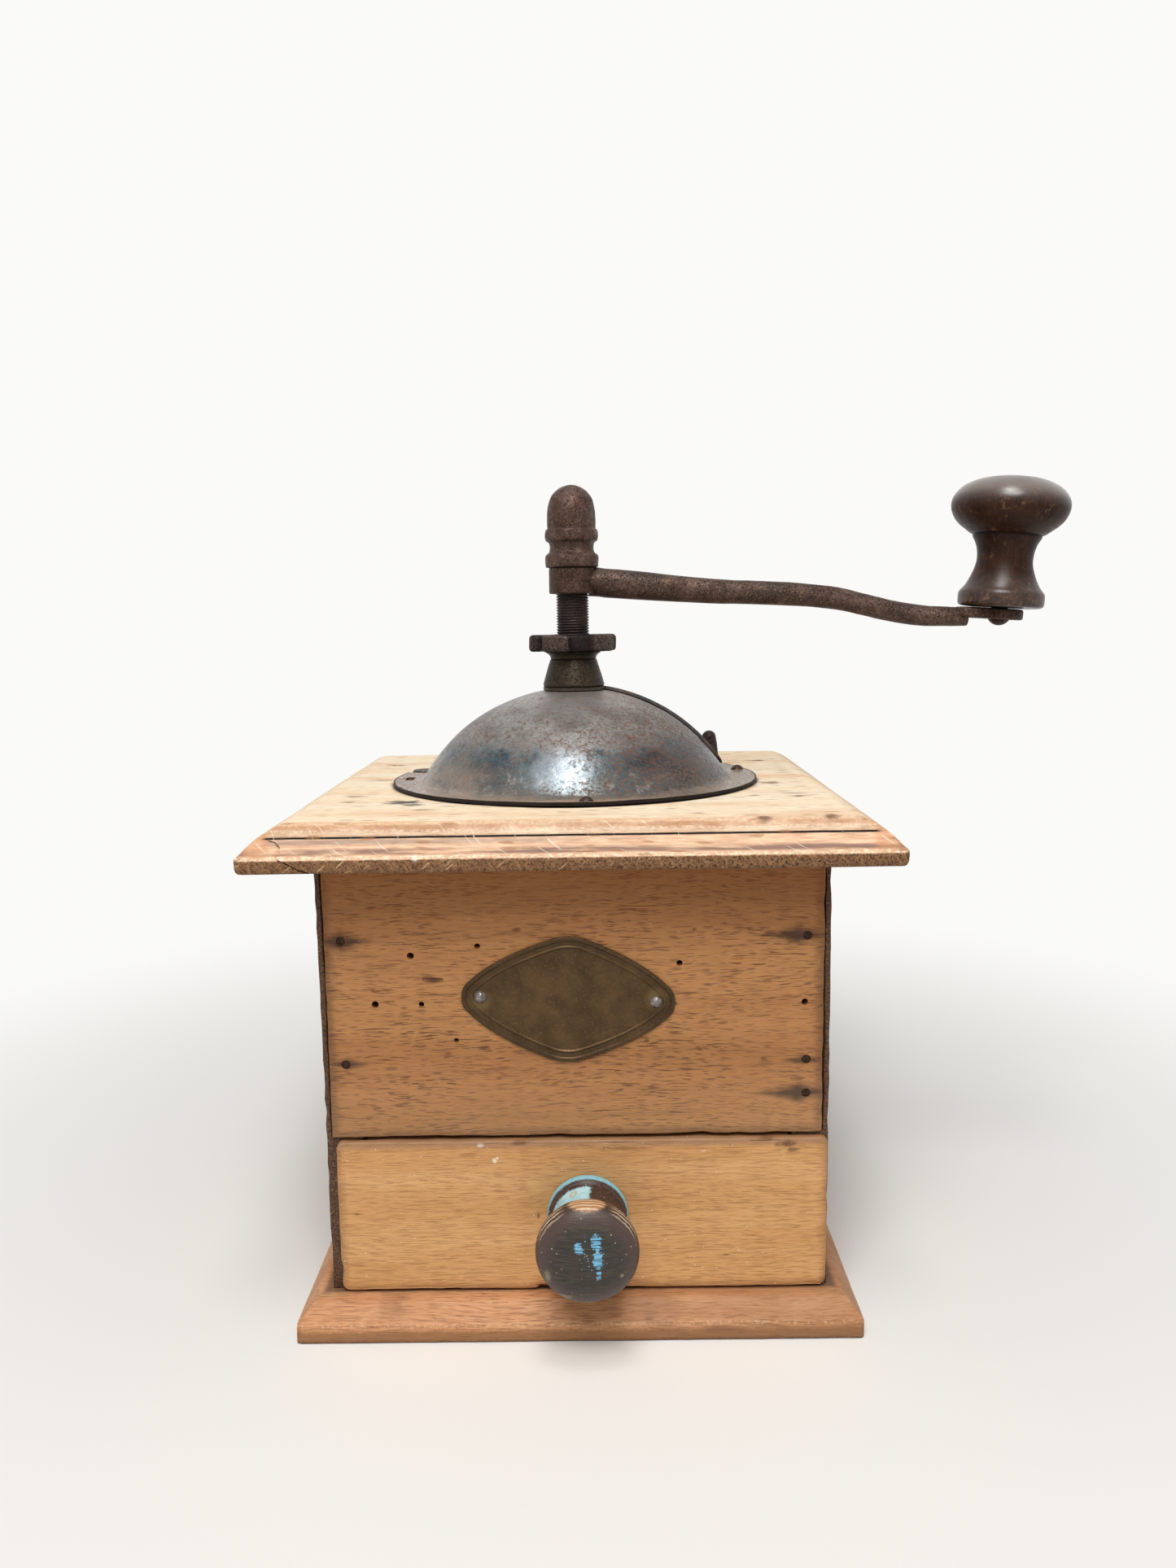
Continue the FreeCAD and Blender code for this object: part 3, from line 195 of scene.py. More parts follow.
    def done(self, rough, normal, metal=0.0, **others):
        feeds = {"Base Color": self.colour, "Roughness": rough, "Normal": normal, "Metallic": metal}
        for socket, value in others.items():
            feeds[socket.replace("_", " ")] = value
        for socket, value in feeds.items():
            self.feed(self.shader.inputs[socket], value)
        return self.material


# the patterns in the grain: how fine each one is along it and across it
beechGrain = dict(lean=(0.022, 0.05), bands=(0.006, 0.13), fibre=(0.13, 3.0), patch=(0.02, 0.045),
                  dense=(0.03, 0.12), dash=(0.2, 2.3), shift=(31.7, 17.3, 23.1))


def beech(name, wood, grain="x"):
    f = Finish(name)
    g = beechGrain
    order = {"x": (f.x, f.y, f.z), "y": (f.y, f.z, f.x)}[grain]
    flat = f.vector("ADD", f.gather(*order), [wood["seed"] * shift for shift in g["shift"]])
    lean = f.times(f.minus(f.drawn(flat, *g["lean"], 2), 0.5), wood["sway"])
    f.flat = f.vector("ADD", flat, f.gather(0, lean, lean))
    bands = f.drawn(f.flat, *g["bands"], 4, 0.55)
    fibre = f.drawn(f.flat, *g["fibre"], 4, 0.65)
    patch = f.drawn(f.flat, *g["patch"], 3)
    f.ground(f.ease(bands, 0.3, 0.7), wood["light"], wood["dark"])
    f.lay(f.ease(patch, 0.42, 0.72, 0, wood["patches"]), wood["patch"])
    f.lay(f.ease(fibre, 0.42, 0.72, 0, wood["fibres"]), wood["fleck"])
    dense = f.ease(f.drawn(f.flat, *g["dense"], 3), 0.3, 0.65, 0.55, 1.0)
    dash = f.ease(f.drawn(f.flat, *g["dash"], 1.5, 0.45), 0.585, 0.67)
    fleck = f.times(f.most(f.times(f.strokes(f.flat, 4.2, 0.42, 0.4), 0.8), dash), dense)
    f.lay(f.times(fleck, wood["flecks"]), wood["fleck"])
    f.height = f.minus(f.times(fibre, 0.5), f.times(fleck, 0.7))
    return f


def corners(node):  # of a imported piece, in millimetres
    return [tuple(round(value / mm, 2) for value in corner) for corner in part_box(node)]


def bend(a, middle, b, count=8):  # points of an arc from a to b through the middle one, without a
    lift = [2 * m - (p + q) / 2 for p, m, q in zip(a, middle, b)]
    points = []
    for i in range(1, count + 1):
        t = i / count
        points.append(tuple((1 - t) ** 2 * p + 2 * t * (1 - t) * c + t * t * q
                            for p, c, q in zip(a, lift, b)))
    return points


def fair(points, cuts=4):  # a smooth run through the points
    ends = [points[0], *points, points[-1]]
    run = [points[0]]
    for before, a, b, after in zip(ends, ends[1:], ends[2:], ends[3:]):
        for i in range(1, cuts + 1):
            t = i / cuts
            run.append(tuple(
                0.5 * (2 * q + (r - p) * t + (2 * p - 5 * q + 4 * r - s) * t * t
                       + (3 * q - p - 3 * r + s) * t ** 3)
                for p, q, r, s in zip(before, a, b, after)))
    return run


def spread(low, high, step):
    count = max(1, round((high - low) / step))
    return [low + (high - low) * i / count for i in range(1, count)]


def whole(bm):
    return bm.verts[:] + bm.edges[:] + bm.faces[:]


def swing(bm, angle, axis, about=(0, 0, 0)):
    bmesh.ops.rotate(bm, cent=about, matrix=Matrix.Rotation(radians(angle), 3, axis), verts=bm.verts)


def spun(profile, steps, closed=False):  # a chain of points, spun about the upright axis
    bm = bmesh.new()
    chain = [bm.verts.new(spot) for spot in profile]
    edges = [bm.edges.new(pair) for pair in zip(chain, chain[1:])]
    if closed:
        edges.append(bm.edges.new((chain[-1], chain[0])))
    bmesh.ops.spin(bm, geom=chain + edges, cent=(0, 0, 0), axis=(0, 0, 1), angle=2 * pi, steps=steps,
                   use_merge=True)
    bmesh.ops.remove_doubles(bm, verts=bm.verts, dist=1e-4)
    bmesh.ops.recalc_face_normals(bm, faces=bm.faces)
    return bm


def turned(profile, steps=96, closed=False):  # radius and height
    return spun([(r, 0, z) for r, z in profile], steps, closed)


def drawOut(bm, faces, way):  # flat faces drawn out to a solid
    drawn = bmesh.ops.extrude_face_region(bm, geom=faces, use_keep_orig=True)["geom"]
    bmesh.ops.translate(bm, vec=way, verts=[item for item in drawn if isinstance(item, bmesh.types.BMVert)])
    bmesh.ops.recalc_face_normals(bm, faces=bm.faces)
    bm.normal_update()
    return [item for item in drawn if isinstance(item, bmesh.types.BMFace)]


def drawnBar(profile, reach, turn=0):  # half width and height, mirrored and drawn out to both ends
    bm = bmesh.new()
    outline = profile + [(-w, z) for w, z in reversed(profile)]
    end = bm.faces.new([bm.verts.new((w, -reach, z)) for w, z in outline])
    drawOut(bm, [end], (0, 2 * reach, 0))
    swing(bm, turn, "Z")
    return bm


def softenEdges(bm, edges, offset, rounds=3):
    bmesh.ops.bevel(bm, geom=edges, offset=offset, offset_type="OFFSET", segments=rounds, profile=0.5,
                    affect="EDGES", material=-1, clamp_overlap=True)


def block(low, high, edge=0.0, rounds=3):
    bm = bmesh.new()
    bmesh.ops.create_cube(bm, size=1)
    bmesh.ops.scale(bm, vec=[b - a for a, b in zip(low, high)], verts=bm.verts)
    bmesh.ops.translate(bm, vec=[(a + b) / 2 for a, b in zip(low, high)], verts=bm.verts)
    if edge:
        softenEdges(bm, bm.edges[:], edge, rounds)
    return bm


def slices(bm, axis, places):  # extra rows of points, so that a face can be worn
    for place in places:
        spot, way = Vector(), Vector()
        spot[axis], way[axis] = place, 1
        bmesh.ops.bisect_plane(bm, geom=whole(bm), dist=1e-4, plane_co=spot, plane_no=way)


def gridUp(bm, low, high, step):
    for axis in range(3):
        slices(bm, axis, spread(low[axis], high[axis], step))


def gridSquare(bm, half, step, gaps):  # rows both ways, closer together along the edges
    near = [half - gap for gap in gaps]
    for axis in (0, 1):
        slices(bm, axis, spread(-half, half, step) + near + [-place for place in near])


def join(bm, *parts):
    for part in parts:
        mesh = bpy.data.meshes.new("joined")
        part.to_mesh(mesh)
        bm.from_mesh(mesh)
        bpy.data.meshes.remove(mesh)
        part.free()
    return bm


def pegs(spots, radius, deep, way, sides=20, flare=1.0):  # cutting pins from each spot inwards
    proud = 2.0  # how far a pin stands out of its spot
    bm = bmesh.new()
    toward = Vector(way).normalized()
    turn = Vector((0, 0, 1)).rotation_difference(toward).to_matrix().to_4x4()
    for spot in spots:
        at = Matrix.Translation(Vector(spot) + toward * (deep / 2 - proud / 2)) @ turn
        bmesh.ops.create_cone(bm, cap_ends=True, segments=sides, radius1=radius * flare, radius2=radius,
                              depth=deep + proud, matrix=at)
    return bm


def fourNails(out, along, level):  # at the corners of a square board
    return [(side * out, end * along, level) for side in (-1, 1) for end in (-1, 1)]


def carve(bm, tool, way="DIFFERENCE"):
    objects = []
    for part in (bm, tool):
        mesh = bpy.data.meshes.new("carving")
        part.to_mesh(mesh)
        objects.append(bpy.data.objects.new("carving", mesh))
        scene.collection.objects.link(objects[-1])
    change = objects[0].modifiers.new("carving", "BOOLEAN")
    change.operation = way
    change.solver = "EXACT"
    change.object = objects[1]
    shape = objects[0].evaluated_get(bpy.context.evaluated_depsgraph_get())
    result = bpy.data.meshes.new_from_object(shape)
    bm.clear()
    bm.from_mesh(result)
    tool.free()
    for item in objects:
        mesh = item.data
        bpy.data.objects.remove(item)
        bpy.data.meshes.remove(mesh)
    bpy.data.meshes.remove(result)
    return bm


def wear(bm, sway=0.0, reach=20.0, bite=0.0, nick=5.0, seed=0):  # unevenness, and rubbed edges
    bm.normal_update()
    shift = Vector((seed * 7.31, seed * 3.17, seed * 5.77))
    moves = []
    for vert in bm.verts:
        move = noise.noise_vector(vert.co / reach + shift) * sway
        if bite:
            fold = max((edge.calc_face_angle(0) for edge in vert.link_edges), default=0)
            if fold > 0.15:
                rub = max(0.0, noise.noise(vert.co / nick + shift) + 0.15)
                chip = max(0.0, noise.noise(vert.co / (nick * 0.45) - shift) - 0.35)
                move -= vert.normal * (bite * rub + bite * 2.2 * chip)
        moves.append(move)
    for vert, move in zip(bm.verts, moves):
        vert.co += move


def roughen(bm, inside, *layers):  # unevenness outside a bore; each layer is a reach and a depth
    for vert in bm.verts:
        if hypot(vert.co.x, vert.co.y) > inside:
            vert.co += sum((noise.noise_vector(vert.co / reach) * depth for reach, depth in layers), Vector())


def roundCorners(bm, half, radius):  # the four corners rubbed round, seen from above
    start = half - radius
    for vert in bm.verts:
        x, y = abs(vert.co.x) - start, abs(vert.co.y) - start
        if x > 0 and y > 0 and hypot(x, y) > radius:
            shrink = radius / hypot(x, y)
            vert.co.x = (start + x * shrink) * (1 if vert.co.x > 0 else -1)
            vert.co.y = (start + y * shrink) * (1 if vert.co.y > 0 else -1)


def finishPiece(bm, name, body, node, material, sharp=35, facesOut=False):
    bmesh.ops.remove_doubles(bm, verts=bm.verts, dist=1e-4)
    if not facesOut:  # the sheet pieces and the star nut have theirs turned outwards already
        bmesh.ops.recalc_face_normals(bm, faces=bm.faces)
    bmesh.ops.scale(bm, vec=(mm, mm, mm), verts=bm.verts)
    mesh = bpy.data.meshes.new(name)
    bm.to_mesh(mesh)
    bm.free()
    mesh.shade_smooth()
    mesh.set_sharp_from_angle(angle=radians(sharp))
    mesh.materials.append(material)
    piece = bpy.data.objects.new(name, mesh)
    scene.collection.objects.link(piece)
    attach(piece, body)
    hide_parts(node)


boardLow, boardHigh = corners("right_side")
panelLow, panelHigh = corners("front_panel")
case = dict(halfWide=boardHigh[0], halfDeep=boardHigh[1], floor=boardLow[2], top=boardHigh[2],
            face=-panelLow[1], back=-panelHigh[1], panelFoot=panelLow[2], lip=1.6)
through = 60.0  # lets a mark reach right through a board

panel = dict(light="b5804e", dark="a06d3f", patch="b0784b", patches=0.5, fleck="5a3219", flecks=0.85,
             fibres=0.35, sway=5.0, seed=1, stain="2c1a10", rust="6e4528", mark="4a2a16", grime="573720",
             shadeAndSoil="93541a", shadeAndSoilDown=26.0, dust="d9b48a", dustUp=(84.0, 58.0),
             nails=[(-61.5, 109.0), (-61.5, 75.0), (61.5, 109.0), (61.5, 75.0), (61.5, 65.6)],
             # across, up, half length, half height, strength
             stains=[(-61.5, 108.9, 14.0, 4.6, 0.97), (-61.0, 75.1, 8.0, 2.6, 0.85),
                     (58.9, 109.2, 15.5, 4.6, 0.97), (60.6, 74.8, 9.0, 2.2, 0.8),
                     (59.2, 65.7, 17.0, 4.4, 0.97)],
             marks=[(-14.9, 111.5, 1.8, 0.9, 0.8), (-24.4, 79.2, 2.2, 0.8, 0.5),
                    (-40.8, 110.7, 4.0, 0.8, 0.45), (31.7, 111.0, 0.9, 0.7, 0.7), (19.0, 80.7, 0.9, 0.7, 0.7),
                    (50.1, 75.4, 1.2, 0.7, 0.6), (52.0, 125.4, 1.6, 1.0, 0.6), (14.4, 125.4, 2.4, 1.0, 0.5),
                    (-36.8, 94.1, 8.0, 0.4, 0.55), (29.5, 93.7, 4.5, 0.45, 0.6),
                    (-37.4, 98.1, 3.6, 1.2, 0.85)],
             # across, up, radius
             holes=[(-43.2, 104.8, 0.95), (-25.5, 107.2, 0.8), (-53.0, 91.6, 0.95), (-40.7, 91.5, 0.75),
                    (-31.7, 81.4, 0.7), (27.8, 101.9, 0.85), (61.0, 90.9, 0.9)],
             gouge=dict(left=-40.2, right=-34.8, low=97.7, high=98.7, deep=0.6, middle=(-37.4, 98.2), turn=4))


def panelFinish():
    p, face = panel, -case["face"]
    f = beech("frontPanelBeech", p)
    wobble = f.wobble(f.stretch(f.flat, (0.25, 0.9, 0.9)), 1, 0.9, 3)
    fine = f.cloud(f.place, 1.2, 4, 0.65)
    marks = [((x, face, z), (long, through, tall), strength) for x, z, long, tall, strength in p["marks"]]
    f.lay(f.spots(marks, wobble), p["mark"])
    f.lay(f.lenses(p["stains"], f.times(wobble, 0.6)), p["stain"])
    heads = [((x, face, z), (2.0, through, 1.6), 0.35) for x, z in p["nails"]]
    f.lay(f.spots(heads, f.times(wobble, 0.8)), p["rust"])
    grime = f.cloud(f.place, 0.22, 4, 0.6)
    gap = f.plus(f.edgeGap(panelLow, panelHigh, (0, 2)), f.times(grime, -3.0))
    f.lay(f.ease(gap, 2.0, -1.0, 0, 0.6), p["grime"])
    high = case["top"]
    # painted shade under the top board's overhang, with soiling: the panel darker towards its top
    f.lay(f.ease(f.plus(f.z, f.times(grime, 5.0)), high - p["shadeAndSoilDown"], high, 0, 0.6), p["shadeAndSoil"])
    scattered = f.ease(f.cloud(f.place, 0.6, 5, 0.7), 0.6, 0.75, 0, 0.2)
    settled = f.ease(f.plus(f.z, f.times(grime, 8.0)), *p["dustUp"], 0, 0.12)
    f.lay(f.most(scattered, settled), p["dust"])
    rough = f.ease(f.times(grime, fine), 0.1, 0.4, 0.46, 0.62)
    return f.done(rough, f.relief(f.height, 0.09), Specular_IOR_Level=0.35)


def frontPanel():
    face, g = -case["face"], panel["gouge"]
    bm = block(panelLow, panelHigh, 0.55)
    gridUp(bm, panelLow, panelHigh, 3.2)
    wear(bm, sway=0.1, reach=24, bite=0.45, nick=5, seed=1)
    carve(bm, pegs([(x, face, z) for x, z in panel["nails"]], 1.2, 0.6, (0, 1, 0), 22, 1.1))
    holes = [pegs([(x, face, z)], radius, 6.0, (0.1 * sin(x), 1, 0.12 * cos(z)), 18)
             for x, z, radius in panel["holes"]]
    carve(bm, join(bmesh.new(), *holes))
    gouge = block((g["left"], face - 0.4, g["low"]), (g["right"], face + g["deep"], g["high"]), 0.35, 2)
    swing(gouge, g["turn"], "Y", (g["middle"][0], face, g["middle"][1]))
    wear(gouge, sway=0.3, reach=2.0, seed=4)
    carve(bm, gouge)
    finishPiece(bm, "frontPanel", "case", "front_panel", panelFinish())


rear = dict(light="a8784a", dark="8b5e38", patch="7a5132", patches=0.6, fleck="5f3c22", flecks=0.7,
            fibres=0.35, sway=6.0, seed=2, stain="33231a", grime="4a3020", scratch="c89c6c",
            nailLevels=(24.1, 70.3, 116.5), nailOut=61.5,
            # across, up, reach across, reach up, strength
            clouds=[(18.0, 88.0, 22.0, 13.0, 0.35), (-35.0, 35.0, 16.0, 9.0, 0.3)])


def backFinish():
    f = beech("backPanelBeech", rear)
    grime = f.cloud(f.place, 0.12, 5, 0.6)
    wobble = f.wobble(f.stretch(f.flat, (0.25, 0.9, 0.9)), 1, 0.6, 3)
    stains = [(side * rear["nailOut"], z, 8.0, 2.4, 0.9) for side in (-1, 1) for z in rear["nailLevels"]]
    f.lay(f.lenses(stains, wobble), rear["stain"])
    clouds = [((x, case["face"], z), (wide, through, tall), strength)
              for x, z, wide, tall, strength in rear["clouds"]]
    f.lay(f.spots(clouds, wobble), rear["stain"])
    gap = f.plus(f.edgeGap(*corners("back_panel"), (0, 2)), f.times(grime, -6.0))
    f.lay(f.ease(gap, 3.0, -3.0, 0, 0.7), rear["grime"])
    f.lay(f.times(f.strokes(f.place, 26.0, 0.8, 0.75, (0, 24, 0)), 0.2), rear["scratch"])
    rough = f.ease(grime, 0.3, 0.7, 0.55, 0.72)
    return f.done(rough, f.relief(f.height, 0.1), Specular_IOR_Level=0.3)


def backPanel():
    low, high = corners("back_panel")
    bm = block(low, high, 0.5)
    gridUp(bm, low, high, 3.6)
    wear(bm, sway=0.12, reach=26, bite=0.4, nick=5, seed=2)
    nails = [(side * rear["nailOut"], high[1], z) for side in (-1, 1) for z in rear["nailLevels"]]
    carve(bm, pegs(nails, 1.35, 0.6, (0, -1, 0), 22, 1.2))
    finishPiece(bm, "backPanel", "case", "back_panel", backFinish())


sides = dict(light="a5764a", dark="835a37", patch="8e5f3c", patches=0.6, fleck="5c3a22", flecks=0.75,
             fibres=0.35, sway=6.0, seed=3, grime="4a3122", rubbed="c2925f", scratch="c9a173",
             endLight="6a4c36", endDark="33221a", rubbedAt=(-8, 70), rubbedReach=(30, 38, 34))


def sideFinish(side):
    f = beech("leftSideBeech" if side < 0 else "rightSideBeech", dict(sides, seed=sides["seed"] + side), "y")
    grime = f.cloud(f.place, 0.1, 5, 0.6)
    deep = case["halfDeep"]
    gap = f.edgeGap(boardLow, boardHigh, (1, 2))
    f.lay(f.ease(f.plus(gap, f.times(grime, -5.0)), 1.0, -4.0, 0, 0.75), sides["grime"])
    middle = (side * case["halfWide"], *sides["rubbedAt"])
    f.lay(f.spots([(middle, sides["rubbedReach"], 0.3)], f.times(f.minus(grime, 0.5), 1.2)), sides["rubbed"])
    endTone = f.mix(f.ease(f.cloud(f.place, 1.6, 4, 0.7), 0.35, 0.65), sides["endLight"], sides["endDark"])
    f.lay(f.ease(f.size(f.y), deep - 1.1, deep - 0.2), endTone)  # end grain
    scratches = f.strokes(f.gather(f.y, f.x, f.z), 24.0, 0.8, 0.75, (0, 18, 0))
    f.lay(f.times(scratches, 0.25), sides["scratch"])
    rough = f.ease(grime, 0.3, 0.7, 0.52, 0.7)
    return f.done(rough, f.relief(f.height, 0.1), Specular_IOR_Level=0.3)


def sideBoard(side):
    c, past = case, 1  # a cut runs a little past the board
    inner, lip = boardLow[0], c["halfWide"] - c["lip"]
    bm = block(boardLow, boardHigh)
    deep, back, high = c["halfDeep"], c["back"], c["top"] + past
    carve(bm, block((inner - past, -deep - past, c["panelFoot"]), (lip, -back, high)))
    carve(bm, block((inner - past, back, c["floor"] - past), (lip, deep + past, high)))
    bmesh.ops.dissolve_limit(bm, angle_limit=0.01, verts=bm.verts, edges=bm.edges)
    bm.normal_update()
    convex = [edge for edge in bm.edges if edge.is_manifold and edge.calc_face_angle() > 1 and edge.is_convex]
    softenEdges(bm, convex, 0.4, 2)
    bmesh.ops.triangulate(bm, faces=[face for face in bm.faces if len(face.verts) > 4])
    bmesh.ops.join_triangles(bm, faces=bm.faces, angle_face_threshold=0.02, angle_shape_threshold=3.1)
    gridUp(bm, boardLow, boardHigh, 3.6)
    wear(bm, sway=0.12, reach=22, bite=0.5, nick=4, seed=5 + side)
    if side < 0:
        bmesh.ops.mirror(bm, geom=whole(bm), axis="X", merge_dist=0)
        bmesh.ops.delete(bm, geom=[vert for vert in bm.verts if vert.co.x > 0], context="VERTS")
    name, node = ("leftSide", "left_side") if side < 0 else ("rightSide", "right_side")
    finishPiece(bm, name, "case", node, sideFinish(side))


base = dict(light="d8a478", dark="c68d62", patch="cf9569", patches=0.5, fleck="80502f", flecks=0.55,
            fibres=0.6, sway=4.0, seed=6, half=corners("base_plate")[1][0], edge=4.7, bevel=4.5, low="8a613e",
            foot="4d3526", worn="ecc8a2", tight="4a3222", mark="7a5138", nails=(63.0, 44.0),
            darkRight=(20, 60),  # across, where the right half gets darker with painted shade and soiling
            # spot, reach, strength
            marks=[((22.0, -73.0, 7.0), (9, 9, 9), 0.4), ((-50, -72, 8), (6, 6, 6), 0.4),
                   ((48, 30, 4), (10, 12, 9), 0.5), ((-60, 50, 8), (10, 12, 9), 0.45),
                   ((37, -76.5, 3.4), (7, 4, 1.6), 0.5)])


def baseFinish():
    f = beech("baseBeech", base)
    grime = f.cloud(f.place, 0.14, 5, 0.6)
    fine = f.cloud(f.place, 1.1, 4, 0.65)
    edge, high = base["edge"], case["floor"]
    f.lay(f.ease(f.plus(f.z, f.times(fine, 2.0)), edge + 0.7, edge - 1.1, 0, 0.75), base["low"])
    # painted shade with soiling: the right half darker
    f.lay(f.ease(f.plus(f.x, f.times(grime, 30)), *base["darkRight"], 0, 0.4), base["low"])
    f.lay(f.ease(f.plus(f.z, f.times(fine, 1.6)), 2.2, 0.6, 0, 0.8), base["foot"])
    worn = f.times(f.ease(f.size(f.z, edge + 0.2), 0.7, 0.15), f.ease(fine, 0.48, 0.62))
    f.lay(f.times(worn, 0.4), base["worn"])
    wide, deep = case["halfWide"] + 1.0, case["face"] - 0.5
    gap = f.edgeGap((-wide, -deep), (wide, deep), (0, 1))  # dirt where the case stands
    tight = f.times(f.ease(gap, -2.2, -0.2), f.ease(f.z, high - 0.7, high - 0.1))
    f.lay(f.times(tight, 0.75), base["tight"])
    f.lay(f.spots(base["marks"], f.times(f.minus(grime, 0.5), 1.4)), base["mark"])
    rough = f.ease(grime, 0.3, 0.7, 0.52, 0.68)
    return f.done(rough, f.relief(f.height, 0.1), Specular_IOR_Level=0.35)


def basePlate():
    half, edge, high = base["half"], base["edge"], case["floor"]
    inner = half - base["bevel"]
    run = [(0, 0), (half - 0.7, 0)]
    run += bend(run[-1], (half - 0.2, 0.2), (half, 0.7), 3) + [(half, edge - 0.5)]
    run += bend(run[-1], (half - 0.12, edge + 0.05), (half - 0.45, edge + 0.5), 3)
    run += [(inner + 0.3, high - 0.35)]
    run += bend(run[-1], (inner - 0.05, high - 0.08), (inner - 0.5, high), 3) + [(0, high)]
    bm = spun([(w, w, z) for w, z in run], 4)
    gridSquare(bm, half, 3.4, (0.3, 0.9, 1.7))
    roundCorners(bm, half, 1.6)
    wear(bm, sway=0.12, reach=22, bite=0.4, nick=4, seed=9)
    carve(bm, pegs(fourNails(*base["nails"], 0), 1.35, 0.6, (0, 0, 1), 22, 1.2))
    finishPiece(bm, "basePlate", "case", "base_plate", baseFinish())


topLow, topHigh = corners("top_board")
top = dict(light="fef2da", dark="fae4c2", patch="f6d8b4", patches=0.5, fleck="c48c60", flecks=0.3,
           fibres=0.25, sway=5.0, seed=8, half=topHigh[0], low=topLow[2], field=topHigh[2], lip=134.4,
           step=77.2, nails=(63.0, 41.5), throat=27.0, over="cb9268", overLow="b07a58", shadowLine="150d0a",
           slateShade="8b7a76", coveLight="ebc4a0", coveDark="cf9c7c", purple="86685e", cream="fdebd0",
           sawn="735036", sawnLight="96704d", pit="35221a", streak="c9a27a", mark="6b4a35", ink="3a3533",
           under="8a6a50", dash="a06f49", smear="e2b087", scratch="fff3df", chip="fbe6d3",
           flangeShadeAndDirtRing=(61.0, 58.6), flangeShadowRing=(57.6, 56.4),  # painted shade with dirt round the hopper's flange, and painted shadow under its edge
           # spot, reach, strength
           marks=[((-63.0, -31.6, 142), (4.5, 3.0, 12), 0.55), ((-61.8, 2.7, 142), (5.5, 2.0, 12), 0.45),
                  ((-40.0, -57.0, 142), (5.0, 1.6, 12), 0.7), ((-33.5, -51.5, 142), (5.0, 1.5, 12), 0.4),
                  ((49.0, -74.5, 141), (2.6, 2.2, 12), 0.8), ((66.0, -74.0, 141), (2.8, 2.6, 12), 0.8),
                  ((59.3, -13.4, 142), (5.0, 4.0, 12), 0.75), ((32.8, -68.3, 142), (2.6, 1.8, 12), 0.5),
                  ((51.1, -39.8, 142), (3.0, 2.2, 12), 0.6), ((62.7, -36.0, 142), (5.0, 3.5, 12), 0.35),
                  ((63, 41.5, 142), (5.0, 2.6, 12), 0.8), ((-63, 41.5, 142), (5.0, 2.6, 12), 0.8),
                  ((63, -41.5, 142), (4.0, 2.0, 12), 0.5), ((-63, -41.5, 142), (4.0, 2.0, 12), 0.5),
                  ((20, 66, 142), (10, 4.0, 12), 0.4), ((-30, 62, 142), (14, 5.0, 12), 0.35)],
           inked=[((-47.5, -43.8, 142), (7.0, 5.0, 12), 0.95), ((-44.0, -48.5, 142), (4.5, 3.0, 12), 0.85)],
           chips=[((-38.6, -83.6, 135.0), (1.3, 2.4, 1.6), 1.0),
                  ((-35.4, -83.4, 135.2), (1.6, 2.4, 0.8), 1.0)],
           crack=[(-76.65, -77.0, 138.9), (-72.3, -83.3, 134.5), (-66.0, -84.2, 131.0)])


